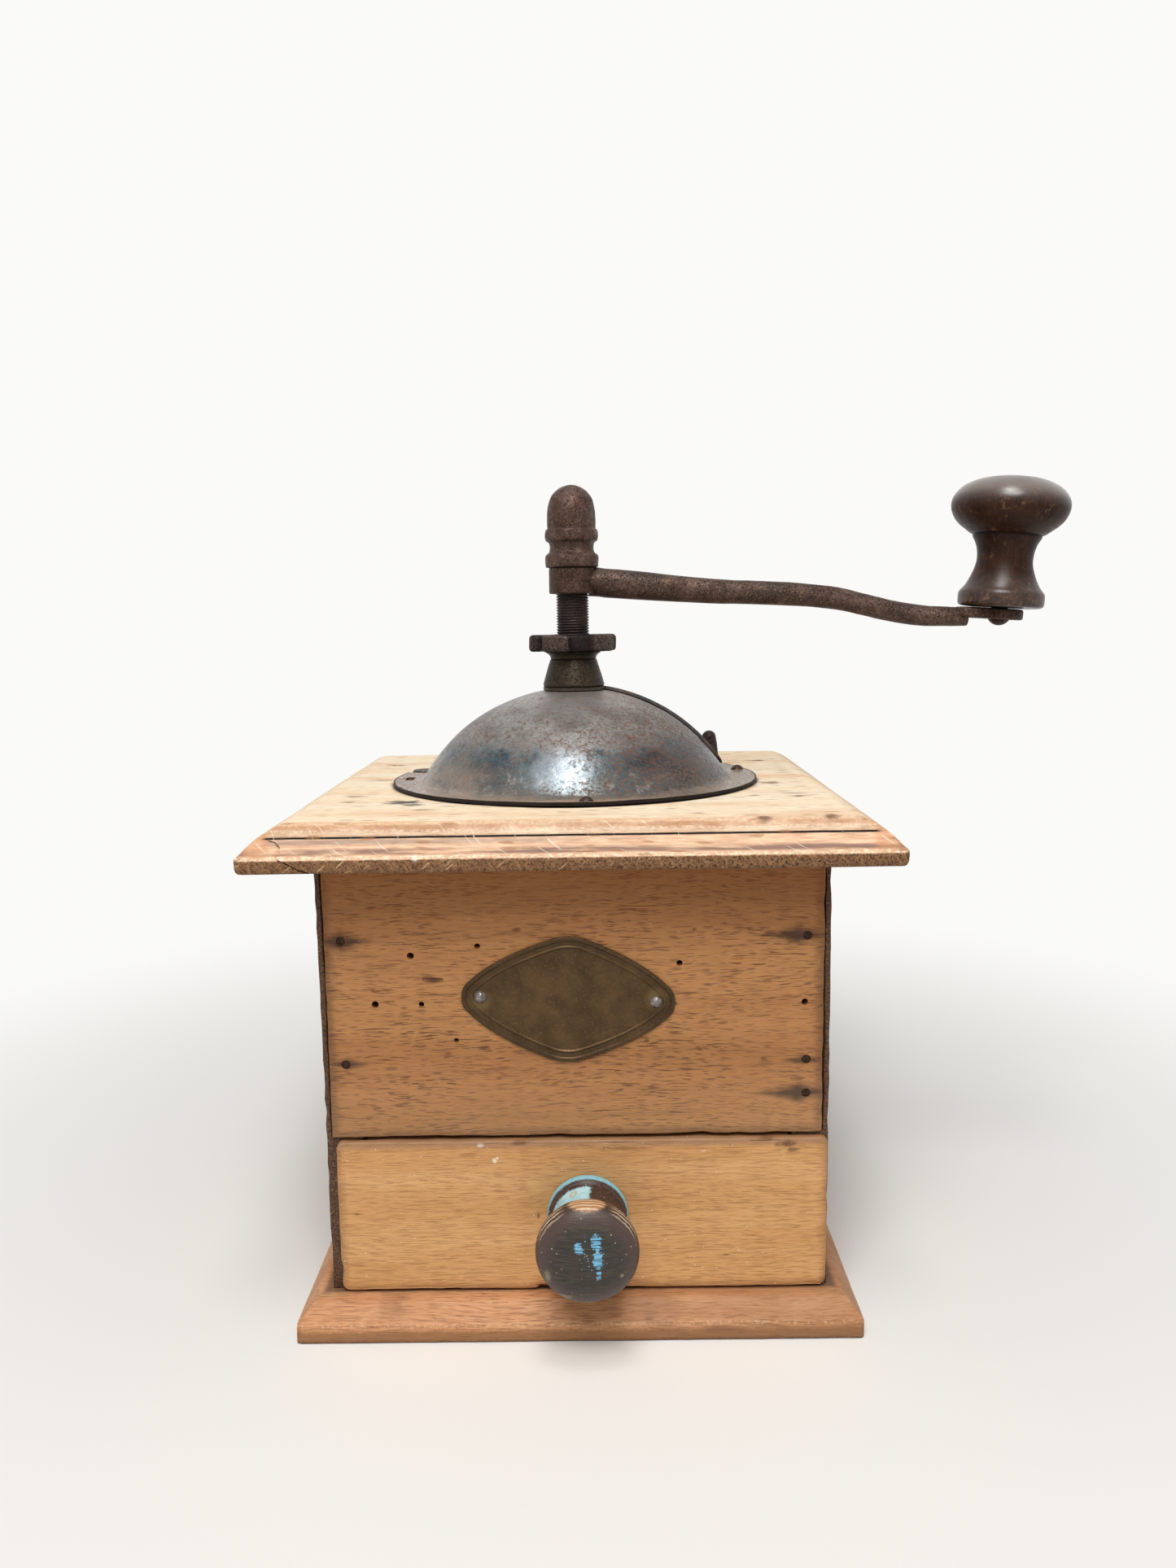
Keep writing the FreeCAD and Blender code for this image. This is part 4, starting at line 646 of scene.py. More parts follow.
def topFinish():
    f = beech("topBoardBeech", top)
    half, lip, field = top["half"], top["lip"], top["field"]
    grime = f.cloud(f.place, 0.1, 5, 0.6)
    fine = f.cloud(f.place, 0.9, 5, 0.65)
    wobble = f.wobble(f.stretch(f.place, (0.35, 0.6, 0.6)), 1, 1.3)
    straight = f.minus(half, f.size(f.y))  # in from the front or back edge
    near = f.plus(straight, f.wobble(f.place, 0.5, 0.5))
    above = f.ease(f.z, lip - 0.5, lip - 0.1)
    # warm dirty band on the round-over, pinkish cove, purple foot of the cove
    over = f.times(f.band(near, 7.0, 10.5, 1.0), f.ease(fine, 0.25, 0.7, 0.3, 0.85))
    f.lay(f.times(over, 0.85), top["over"])
    f.lay(f.times(f.band(near, 7.0, 8.6, 0.5), f.ease(grime, 0.3, 0.65, 0.15, 0.7)), top["overLow"])
    streaks = f.cloud(f.stretch(f.place, (0.15, 1.2, 1.5)), 1, 4, 0.6)
    coveTone = f.mix(f.ease(streaks, 0.35, 0.65), top["coveLight"], top["coveDark"])
    f.lay(f.times(f.ease(near, 7.0, 6.6), 0.85), coveTone)
    purple = f.times(f.band(near, 2.0, 4.2, 0.6), f.ease(f.drawn(f.place, 0.05, 0.4, 4), 0.35, 0.6))
    f.lay(f.times(purple, 0.9), top["purple"])
    smears = f.ease(f.drawn(f.place, 0.022, 0.09, 5, 0.65), 0.5, 0.68)
    f.lay(f.times(smears, f.ease(near, 8.0, 11.0), 0.55), top["smear"])
    inside = f.ease(f.size(f.x), half - 5.5, half - 7.5)
    leftward = f.ease(f.plus(f.x, f.times(grime, 60)), 60, -20)
    # painted shade: a slate-grey band just under the step, stronger to the left
    f.lay(f.times(f.band(near, 5.4, 6.6, 0.4), leftward, inside, 0.6), top["slateShade"])
    # the fall of the two ends
    ends = f.plus(f.minus(half, f.size(f.x)), f.wobble(f.place, 0.5, 1.2))
    f.lay(f.times(f.ease(ends, 9.5, 6.5), 0.55), top["over"])
    f.lay(f.times(f.ease(ends, 3.5, 1.5), f.ease(fine, 0.35, 0.6), 0.6), top["purple"])
    # painted shadow as a thin black line under the step, rubbed arris above the sawn edge
    shadowLine = f.times(f.band(f.z, lip + 3.8, lip + 4.35, 0.12), f.band(straight, 5.9, 7.6, 0.2), inside)
    f.lay(shadowLine, top["shadowLine"])
    f.lay(f.times(f.band(straight, 7.1, 7.5, 0.15), inside, f.ease(fine, 0.45, 0.6), 0.5), top["cream"])
    worn = f.most(f.ease(straight, 1.7, 1.1), f.ease(ends, 1.3, 0.6))
    f.lay(f.times(worn, above, f.ease(fine, 0.46, 0.6), 0.75), top["cream"])
    # sawn edge: slanting marks, pits towards the right
    sawn = f.ease(f.z, lip - 0.1, lip - 0.6)
    around = f.gather(f.plus(f.x, f.y), 0, f.z)
    slant = f.cloud(f.stretch(f.stretch(around, 1, (0, 38, 0)), (1.1, 1, 0.22)), 1, 4, 0.65)
    sawnTone = f.mix(f.ease(slant, 0.36, 0.66), top["sawn"], top["sawnLight"])
    pits = f.ease(f.cloud(f.place, 1.5, 5, 0.75), 0.52, 0.64)
    sawnTone = f.mix(f.times(pits, f.ease(f.x, -30, 60, 0.3, 1.0)), sawnTone, top["pit"])
    light = f.times(f.strokes(around, 5.0, 0.7, 0.6, (0, 42, 0)), f.ease(f.x, 50, -20, 0.25, 1.0))
    sawnTone = f.mix(f.times(light, 0.75), sawnTone, top["streak"])
    f.lay(sawn, sawnTone)
    # stains, dashes, scratches, and the chipped spot on the front edge
    f.lay(f.times(f.spots(top["marks"], wobble), above), top["mark"])
    f.lay(f.times(f.spots(top["inked"], wobble), above), top["ink"])
    ring = f.fromAxis()
    flatTop = f.ease(f.z, field - 0.6, field - 0.1)
    # painted shade with dirt on the board round the flange
    f.lay(f.times(f.ease(f.plus(ring, f.times(grime, 5.0)), *top["flangeShadeAndDirtRing"]), flatTop, 0.55), top["under"])
    # painted shadow on the board under the flange's edge
    f.lay(f.times(f.ease(ring, *top["flangeShadowRing"]), flatTop), top["shadowLine"])
    f.lay(f.times(f.strokes(f.flat, 7.0, 1.7, 0.66), above, 0.6), top["dash"])
    f.lay(f.spots(top["chips"], wobble), top["chip"])
    scratches = f.strokes(f.gather(f.x, f.y, 0), 8.0, 0.5, 0.72, (0, 0, 40))
    scratches = f.times(scratches, above, f.ease(near, 26.0, 8.0, 0.4, 1.0))
    f.lay(f.times(scratches, 0.45), top["scratch"])
    rough = f.ease(grime, 0.3, 0.7, 0.58, 0.72)
    height = f.minus(f.height, f.times(scratches, 0.4))
    height = f.minus(height, f.times(sawn, pits, 1.6))
    height = f.plus(height, f.times(sawn, slant, 1.4))
    return f.done(rough, f.relief(height, 0.13), Specular_IOR_Level=0.25)


def topBoard():
    half, low, field, lip, step = (top[key] for key in ("half", "low", "field", "lip", "step"))
    # in from the edge and up: the arris, the cove, the step and the round-over of the front and back
    front = [(half - 1.2, low)]
    front += bend(front[-1], (half - 0.35, low + 0.35), (half, low + 1.2), 4) + [(half, lip - 0.8)]
    front += bend(front[-1], (half - 0.18, lip - 0.2), (half - 0.8, lip + 0.25), 4)
    front += [(half - 1.4, lip + 0.5)]
    front += bend(front[-1], (half - 4.0, lip + 1.45), (step + 0.05, lip + 3.9), 9) + [(step, lip + 4.4)]
    front += bend(front[-1], (step - 1.3, field - 1.0), (step - 4.0, field - 0.1), 9) + [(step - 5.7, field)]
    # the plain fall of the two ends
    fall = [(half - 2.6, low)]
    fall += bend(fall[-1], (half - 0.7, low + 0.7), (half, low + 2.4), 5) + [(half, lip - 0.9)]
    fall += bend(fall[-1], (half - 0.45, lip + 0.15), (half - 1.3, lip + 0.95), 4)
    fall += bend(fall[-1], (half - 5.4, lip + 4.75), (half - 11.5, field), 9)
    bm = carve(drawnBar(front, half, 90), drawnBar(fall, half), "INTERSECT")
    gridSquare(bm, half, 3.4, (0.3, 0.8, 1.4, 2.1))
    roundCorners(bm, half, 2.6)
    wear(bm, sway=0.14, reach=24, bite=0.25, nick=4, seed=12)
    carve(bm, pegs(fourNails(*top["nails"], field), 1.4, 0.6, (0, 0, -1), 22, 1.2))
    throat = bmesh.new()
    bmesh.ops.create_cone(throat, cap_ends=True, segments=96, radius1=top["throat"], radius2=top["throat"],
                          depth=30, matrix=Matrix.Translation((0, 0, low)))
    carve(bm, throat)
    carve(bm, cornerCrack())
    finishPiece(bm, "topBoard", "case", "top_board", topFinish())


def cornerCrack():  # the split that runs across the front left corner
    start, middle, end = (Vector(point) for point in top["crack"])
    along = (middle - start).normalized()
    facing = along.cross(end - start).normalized()
    bm = bmesh.new()
    place = Matrix((along, facing.cross(along), facing)).transposed().to_4x4()
    place.translation = (start + middle + end) / 3
    bmesh.ops.create_grid(bm, x_segments=22, y_segments=22, size=7.5, matrix=place)
    for vert in bm.verts:
        vert.co += facing * 0.75 * noise.noise(vert.co / 2.2)
    bmesh.ops.solidify(bm, geom=bm.faces[:], thickness=0.42)
    return bm


badge = dict(shift=-1.7, level=92.45, wide=28.3, tall=17.1, thick=0.8, tilt=2.4, nailEdge=5.0, light="5d472d",
             dark="46341f", rubbed="74592f", rim="33261a", green="4d5038", bright="8a7048",
             # rolled edge, groove, inner bead: width in and rise of each ring
             rings=[(0.2, 0.15), (0.75, 0.0), (0.3, -0.3), (1.1, -0.05), (0.3, 0.2), (0.25, 0.0),
                    (0.3, -0.22)])


def badgeFinish():
    f = Finish("badgeBrass")
    grime = f.cloud(f.place, 0.16, 5, 0.6)
    fine = f.cloud(f.place, 1.4, 4, 0.6)
    shift, face, level = badge["shift"], -case["face"], badge["level"]
    wide, tall = badge["wide"], badge["tall"]
    f.ground(f.ease(grime, 0.3, 0.7), badge["light"], badge["dark"])
    f.lay(f.ease(fine, 0.5, 0.72, 0, 0.5), badge["rubbed"])
    out = f.away((shift, face, level), (wide, through, tall))
    f.lay(f.ease(out, 0.6, 0.98, 0, 0.4), badge["rim"])
    green = f.times(f.ease(f.cloud(f.place, 0.5, 5, 0.7), 0.58, 0.7), f.ease(out, 0.3, 0.8))
    f.lay(f.times(green, 0.4), badge["green"])
    pinOut = wide - badge["nailEdge"]
    pins = [((shift + side * pinOut, face, level), (4, through, 4), 0.4) for side in (-1, 1)]
    f.lay(f.spots(pins), badge["bright"])
    rough = f.ease(fine, 0.3, 0.7, 0.36, 0.52)
    return f.done(rough, f.relief(f.plus(f.times(fine, 0.4), f.times(grime, 0.8)), 0.05), 0.75)


def badgePlate():
    wide, tall, front = badge["wide"], badge["tall"], -case["face"]
    # shares of the plate's half width and half height
    end, bow, cap = (wide * 0.925, tall * 0.26), (wide * 0.63, tall * 0.615), (wide * 0.2, tall * 0.935)
    quarter = [(wide, 0.0), *bend((wide, 0.0), (wide * 0.985, tall * 0.14), end, 4), *bend(end, bow, cap, 12),
               *bend(cap, (wide * 0.1, tall * 0.985), (0.0, tall), 4)]
    loop = []
    for sx, sz in ((1, 1), (-1, 1), (-1, -1), (1, -1)):
        part = [(sx * x, sz * z) for x, z in quarter]
        loop += (part if sx == sz else part[::-1])[:-1]
    bm = bmesh.new()
    plate = bm.faces.new([bm.verts.new((x, front, z)) for x, z in loop])
    raised = drawOut(bm, [plate], (0, badge["rings"][0][1] - badge["thick"], 0))
    for width, rise in badge["rings"]:
        bmesh.ops.inset_region(bm, faces=raised, thickness=width, depth=rise, use_even_offset=True)
    bmesh.ops.triangulate(bm, faces=raised)
    slices(bm, 0, spread(-wide, wide, 1.8))
    slices(bm, 2, spread(-tall, tall, 1.8))
    for vert in bm.verts:
        if vert.co.y < front - 0.1:
            vert.co.y += 0.12 * noise.noise(vert.co / 7.0)
    swing(bm, badge["tilt"], "Y")
    bmesh.ops.translate(bm, vec=(badge["shift"], 0, badge["level"]), verts=bm.verts)
    finishPiece(bm, "badgePlate", "case", "badge_plate", badgeFinish(), 28)


drawerLow, drawerHigh = corners("drawer_front")
drawer = dict(light="d9a872", dark="cd9961", patch="d29a62", patches=0.5, fleck="8a5830", flecks=0.42,
              fibres=0.55, sway=3.0, seed=11, face=drawerLow[1], low=drawerLow[2],
              right=drawerHigh[0], plugEnd=drawerHigh[1], high=drawerHigh[2], lip=-case["halfDeep"],
              corner=2.0, plugHalf=corners("drawer_right_side")[1][0], edge="a98668", speck="543a26",
              pale="f3e6d4", mark="4b2f1c", grime="8a6140", knobShadeAndDirt="8b6238", knobShadeAndDirtReach=(19, 40, 19),
              inner="8c633f", chip="5f3320",
              # across, up, reach across, reach up, strength
              paleSpots=[(-26.0, 52.3, 1.3, 0.9, 0.9), (-22.3, 47.9, 0.9, 0.9, 0.8),
                         (-21.6, 48.6, 0.5, 0.5, 0.8), (34.0, 50.0, 1.2, 0.4, 0.5)],
              darkSpots=[(-15.8, 52.8, 3.5, 0.8, 0.8), (56.4, 51.8, 4.0, 1.3, 0.85),
                         (51.0, 52.9, 3.0, 0.6, 0.8), (-10.8, 31.9, 0.5, 1.2, 0.8),
                         (58.0, 50.0, 2.2, 1.0, 0.6), (-60, 33, 1.2, 0.6, 0.5), (40, 20, 1.6, 0.5, 0.45),
                         (12, 51, 9.0, 0.7, 0.4)],
              chips=[(-9.3, 11.0, 2.6, 1.0, 1.0), (-6.6, 10.6, 1.6, 0.6, 0.9)],
              # extra rows and columns of points for the chipped edges, and where those are
              chipRows=[52.9, 52.3, 51.6, 50.6, 11.2, 11.9, 12.6],
              chipColumns=[66.8, 65.9, 64.8, -12.0, -10.6, -8.4, -7.3, -5.9],
              topChip=dict(above=49.5, fade=2.5, past=46, deep=0.7),
              lowChip=dict(below=12.2, left=-11.5, right=-6.2, start=12.6, slope=0.5))


def drawerFinish():
    d = drawer
    f = beech("drawerFrontBeech", d)
    grime = f.cloud(f.place, 0.14, 5, 0.6)
    fine = f.cloud(f.place, 1.2, 5, 0.65)
    wobble = f.wobble(f.stretch(f.place, (0.5, 1.0, 1.0)), 1, 1.2)

    def marks(rows):
        return f.spots([((x, d["face"], z), (wide, 9, tall), strength)
                        for x, z, wide, tall, strength in rows], wobble)

    high = d["high"]
    f.lay(f.ease(f.plus(f.z, f.times(fine, 1.8)), high - 1.4, high, 0, 0.7), d["edge"])
    gathered = f.times(f.ease(f.z, high - 4.9, high - 0.9), f.ease(f.cloud(f.place, 0.2, 2), 0.42, 0.6))
    f.lay(f.times(f.specks(1.3, 0.2, 0.3), gathered, 0.8), d["speck"])
    f.lay(marks(d["paleSpots"]), d["pale"])
    f.lay(marks(d["darkSpots"]), d["mark"])
    f.lay(marks(d["chips"]), d["chip"])
    gap = f.plus(f.edgeGap(drawerLow, drawerHigh, (0, 2)), f.times(grime, -3.0))
    f.lay(f.ease(gap, 1.6, -1.6, 0, 0.55), d["grime"])
    knobShadeAndDirt = f.away((pull["x"], d["face"], pull["z"]), d["knobShadeAndDirtReach"], f.times(wobble, 0.6))
    f.lay(f.ease(knobShadeAndDirt, 1.15, 0.6, 0, 0.2), d["knobShadeAndDirt"])  # painted shade round the knob, with finger dirt
    f.lay(f.ease(f.y, d["lip"] - 0.6, d["lip"] + 0.1, 0, 0.6), d["inner"])
    f.lay(f.times(f.specks(0.5, 0.09, 0.6), 0.8), d["pale"])
    rough = f.ease(grime, 0.3, 0.7, 0.48, 0.62)
    return f.done(rough, f.relief(f.height, 0.07), Specular_IOR_Level=0.35)


def drawerFront():
    d, t, b = drawer, drawer["topChip"], drawer["lowChip"]
    bm = block(drawerLow, (d["right"], d["lip"], d["high"]))
    upright = [e for e in bm.edges if abs(e.verts[0].co.y - e.verts[1].co.y) > 1]
    softenEdges(bm, upright, d["corner"], 5)
    bm.normal_update()
    front = d["face"] + 0.5
    rim = [e for e in bm.edges if e.calc_face_angle() > 1.2 and all(v.co.y < front for v in e.verts)]
    softenEdges(bm, rim, 0.8, 4)
    half = d["plugHalf"]
    plug = block((-half, d["lip"] - 0.3, d["low"]), (half, d["plugEnd"], d["high"]), 0.3, 2)
    carve(bm, plug, "UNION")
    gridUp(bm, drawerLow, drawerHigh, 3.0)
    slices(bm, 2, d["chipRows"])
    slices(bm, 0, d["chipColumns"])
    wear(bm, sway=0.1, reach=22, bite=0.4, nick=4, seed=15)
    for vert in bm.verts:  # the chipped edges, at the top right and below the knob
        if vert.co.y < d["lip"] - 0.1:
            if vert.co.z > t["above"] and vert.co.x > t["past"]:
                chip = max(0.0, noise.noise(vert.co / 3.1 + Vector((3, 1, 9))) + 0.05)
                vert.co.y += t["deep"] * chip * min(1.0, (vert.co.z - t["above"]) / t["fade"])
            if vert.co.z < b["below"] and b["left"] < vert.co.x < b["right"]:
                vert.co.y += b["slope"] * (b["start"] - vert.co.z)
    finishPiece(bm, "drawerFront", "drawer", "drawer_front", drawerFinish())


box = dict(light="cfa374", dark="b3875a", patch="b98e63", patches=0.6, fleck="86603c", flecks=0.4,
           fibres=0.45, sway=5.0, seed=14, top=corners("drawer_back")[1][2], dirt="5c402b", coffee="33211a",
           rim="8e6a48", dirtUp=(24.0, 12.0), coffeeUp=(34, 12),
           nails=[(46.5, 20.55), (46.5, 35.625), (6.0, 12.0), (-30.0, 12.0)])  # back and up, in the sides


def boxFinish(name, grain, seed):
    f = beech(name, dict(box, seed=seed), grain)
    grime = f.cloud(f.place, 0.12, 5, 0.6)
    f.lay(f.ease(f.plus(f.z, f.times(grime, 8.0)), *box["dirtUp"], 0, 0.6), box["dirt"])
    coffee = f.times(f.ease(f.cloud(f.place, 0.45, 5, 0.75), 0.55, 0.7), f.ease(f.z, *box["coffeeUp"]))
    f.lay(f.times(coffee, 0.7), box["coffee"])
    f.lay(f.ease(f.plus(f.z, f.times(grime, 2.0)), box["top"] - 0.4, box["top"] + 0.8, 0, 0.5), box["rim"])
    return f.done(f.ease(grime, 0.3, 0.7, 0.6, 0.78), f.relief(f.height, 0.1), Specular_IOR_Level=0.3)


def drawerBoard(name, node, grain, seed, nails=()):
    low, high = corners(node)
    bm = block(low, high, 0.4)
    gridUp(bm, low, high, 4.0)
    wear(bm, sway=0.1, reach=20, bite=0.3, nick=4, seed=seed)
    for spot, way in nails:
        carve(bm, pegs([spot], 1.1, 0.5, way, 18, 1.15))
    finishPiece(bm, name, "drawer", node, boxFinish(name + "Beech", grain, seed))


def drawerBox():
    seed = box["seed"]
    for side, name, node in ((-1, "drawerLeftSide", "drawer_left_side"),
                             (1, "drawerRightSide", "drawer_right_side")):
        nails = [((side * drawer["plugHalf"], y, z), (-side, 0, 0)) for y, z in box["nails"]]
        drawerBoard(name, node, "y", seed + 3 + side, nails)
    drawerBoard("drawerBack", "drawer_back", "x", seed + 6)
    drawerBoard("drawerBottom", "drawer_bottom", "x", seed + 7)


pull = dict(x=2.6, z=33.0, face=drawer["face"],
            # radius and distance out from the drawer front
            rim=[(10.2, 0), (10.75, 0.5), (10.95, 1.4), (10.75, 2.4), (10.3, 3.2), (9.65, 4.1)],
            neck=[(9.5, 5.6), (9.5, 7.8), (9.7, 10.2), (10.0, 12.35), (10.45, 13.7), (11.2, 15.1)],
            head=[(12.0, 16.4), (12.8, 17.7), (13.2, 19.0), (13.3, 20.3), (13.1, 21.5), (12.5, 22.7),
                  (11.2, 23.8), (8.8, 24.85), (5.6, 25.55), (2.6, 25.9), (0, 26.0)],
            wood="25211d", woodLight="453e32", brown="3b2c25", violet="4a3731", orange="b28258", tan="e6ccae",
            bandDark="2c1d17", cream="cdbf9f", red="5e3026", blue="b8e2ec", blueDeep="9ccbd8",
            rimBlue="86bfcc", ring="c4b070", olive="7d7862", fleck="74b8de",
            # places: across from the middle, out from the drawer front, up from the middle
            crownAt=(0, 20.0, 12.9), ringAt=(-3.7, 7.2, 8.8), paintAt=(1.5, 25.5, 2.0),
            # place, reach, strength
            patches=[((-2.1, 25.5, 3.6), (1.6, 8, 2.0), 1.0), ((2.2, 25.5, 5.0), (1.7, 8, 3.2), 1.0),
                     ((2.6, 25.5, 0.6), (1.6, 8, 3.4), 1.0), ((2.8, 25.5, -3.4), (0.9, 8, 1.8), 1.0)],
            worn=[((-10.0, 22.5, -4.6), (1.2, 6, 2.6), 0.9), ((-5.6, 22.5, -10.4), (2.4, 6, 1.1), 0.9),
                  ((-1.5, 21.5, -12.6), (6.0, 6, 0.9), 0.6), ((8.6, 23.5, -4.2), (0.8, 6, 0.8), 0.9)])


def onPull(x, out, z):  # a place on the drawer knob, given as its dictionary has it
    return (pull["x"] + x, pull["face"] - out, pull["z"] + z)


def pullFinish():
    f = Finish("pullPaintedWood")
    p = pull
    out = f.minus(p["face"], f.y)
    dx, dz = f.minus(f.x, p["x"]), f.minus(f.z, p["z"])
    fine = f.cloud(f.place, 1.3, 5, 0.7)
    lines = f.cloud(f.stretch(f.place, (0.1, 1.4, 3.4)), 1, 4, 0.65)
    blotch = f.cloud(f.place, 0.33, 5, 0.65)
    # bare dark wood, lined across the front
    f.ground(f.ease(lines, 0.4, 0.68), p["wood"], p["woodLight"])
    f.lay(f.ease(blotch, 0.45, 0.7, 0, 0.6), p["brown"])
    f.lay(f.ease(out, 25.2, 23.8, 0, 0.8), p["violet"])
    # worn crown of the head, with the turned grain showing at both sides
    crown = f.ease(f.away(onPull(*p["crownAt"]), (5.2, 3.4, 6.0), f.times(fine, 0.4)), 1.25, 0.95)
    rings = f.ease(f.maths("FRACT", f.plus(f.times(out, 0.9), f.times(blotch, 1.2))), 0.5, 0.8)
    up = f.ease(dz, 2.0, 9.0)
    flanks = f.times(f.band(out, 15.5, 22.5, 1.0), up, f.ease(f.size(dx), 5.0, 8.0), rings)
    f.lay(f.times(crown, 0.95), p["orange"])
    f.lay(f.times(f.most(flanks, f.times(crown, rings)), 0.8), p["tan"])
    # neck: dark and speckled, blue paint left on the upper left, the rim behind still painted
    neck = f.ease(out, 14.2, 12.8)
    f.lay(f.times(neck, 0.85), f.mix(f.ease(fine, 0.4, 0.6), p["bandDark"], p["violet"]))
    f.lay(f.times(neck, f.specks(1.0, 0.3, 0.45)), p["red"])
    f.lay(f.times(neck, f.specks(0.8, 0.2, 0.55)), p["cream"])
    left = f.times(f.ease(f.plus(dx, f.times(blotch, 4.0)), 3.4, 2.4),
                   f.band(f.plus(out, f.times(fine, 2.0)), 5.6, 13.6, 0.4),
                   f.ease(dz, 0.5, 2.5), f.ease(fine, 0.28, 0.34))
    f.lay(left, f.mix(f.ease(blotch, 0.4, 0.65), p["blue"], p["blueDeep"]))
    ring = f.band(f.away(onPull(*p["ringAt"]), (1.0, 1.5, 3.0), f.times(fine, 0.5)), 0.8, 1.3, 0.15)
    f.lay(f.times(ring, 0.8), p["ring"])
    rim = f.times(f.ease(f.plus(out, f.times(fine, 1.2)), 3.5, 2.9), f.ease(fine, 0.3, 0.38))
    f.lay(rim, p["rimBlue"])
    # what is left of the paint on the front
    patches = [(onPull(*place), reach, strength) for place, reach, strength in p["patches"]]
    chips = f.times(f.ease(f.spots(patches, f.wobble(f.place, 1.2, 1.5, 5)), 0.2, 0.5),
                    f.ease(f.cloud(f.stretch(f.place, (0.22, 1, 4.2)), 1, 2), 0.42, 0.52))
    near = f.ease(f.away(onPull(*p["paintAt"]), (6.5, 8, 9.0)), 1.0, 0.2)
    dots = f.times(f.specks(1.3, 0.24, 0.45), f.ease(f.plus(near, f.wobble(f.place, 0.5, 1.0)), 0.35, 0.8))
    flecks = f.times(f.most(chips, dots), f.ease(out, 23.4, 24.4))
    f.lay(flecks, p["fleck"])
    f.lay(f.times(f.specks(0.8, 0.16, 0.62), f.ease(dz, -12, 4, 0.35, 1.0), 0.8), p["cream"])
    worn = [(onPull(*place), reach, strength) for place, reach, strength in p["worn"]]
    f.lay(f.spots(worn, f.wobble(f.place, 1.3, 1.2)), p["olive"])
    paint = f.most(rim, left, flecks)
    rough = f.plus(f.ease(fine, 0.3, 0.7, 0.3, 0.48), f.times(paint, 0.1))
    height = f.plus(f.times(paint, 0.8), f.times(lines, 0.9))
    return f.done(rough, f.relief(height, 0.09), Specular_IOR_Level=0.45)


def drawerKnob():
    bm = turned([(0, 0)] + fair(pull["rim"] + pull["neck"] + pull["head"]), 112)
    for vert in bm.verts:
        vert.co += noise.noise_vector(vert.co / 6.0) * 0.1
    swing(bm, 90, "X")
    bmesh.ops.translate(bm, vec=onPull(0, 0, 0), verts=bm.verts)
    finishPiece(bm, "drawerKnob", "drawer", "drawer_knob", pullFinish())


hopper = dict(sphere=55.0, centre=116.0, bore=6.3, inner=7.6, seat=9.5, fillet=3.0, ring=49.58, flange=56.58,
              level=143.1, sheet=1.0, brim=58.74, lift=0.4, nail=(3.7, -53.5),
              mouth=dict(left=33, right=106, high=17, low=50.94), notch=dict(left=141, right=166, ring=50.08),
              slot=dict(ring=51.88, turn=182, long=3.9, wide=1.3),
              light="9a9795", dark="706b68", freckle="54463e", paint="345560", paintDeep="1b3139",
              rust="573122", rustLight="86522f", dust="b39c89", dustAndShadeRight="94816f", edge="130d0b",
              shadeAndTarnish="453c37", rubbed="b5b1b0", bareAndHighlightTone="9aa1a8", navyTone="222b38", olive="7a6f58",
              # spot, reach, strength
              bareAndHighlight=[((-5, -44, 150.5), (14, 20, 8), 1.0), ((-43, 6, 150.5), (18, 16, 7), 0.9),
                    ((12, 43, 150.5), (15, 18, 7), 0.8), ((44, -8, 149.5), (16, 12, 6), 0.5)],
              navy=[((24, -38, 152), (14, 14, 6), 0.85), ((34, -32, 148), (12, 14, 4), 0.7),
                    ((-26, -38, 149), (9, 14, 4), 0.5)])


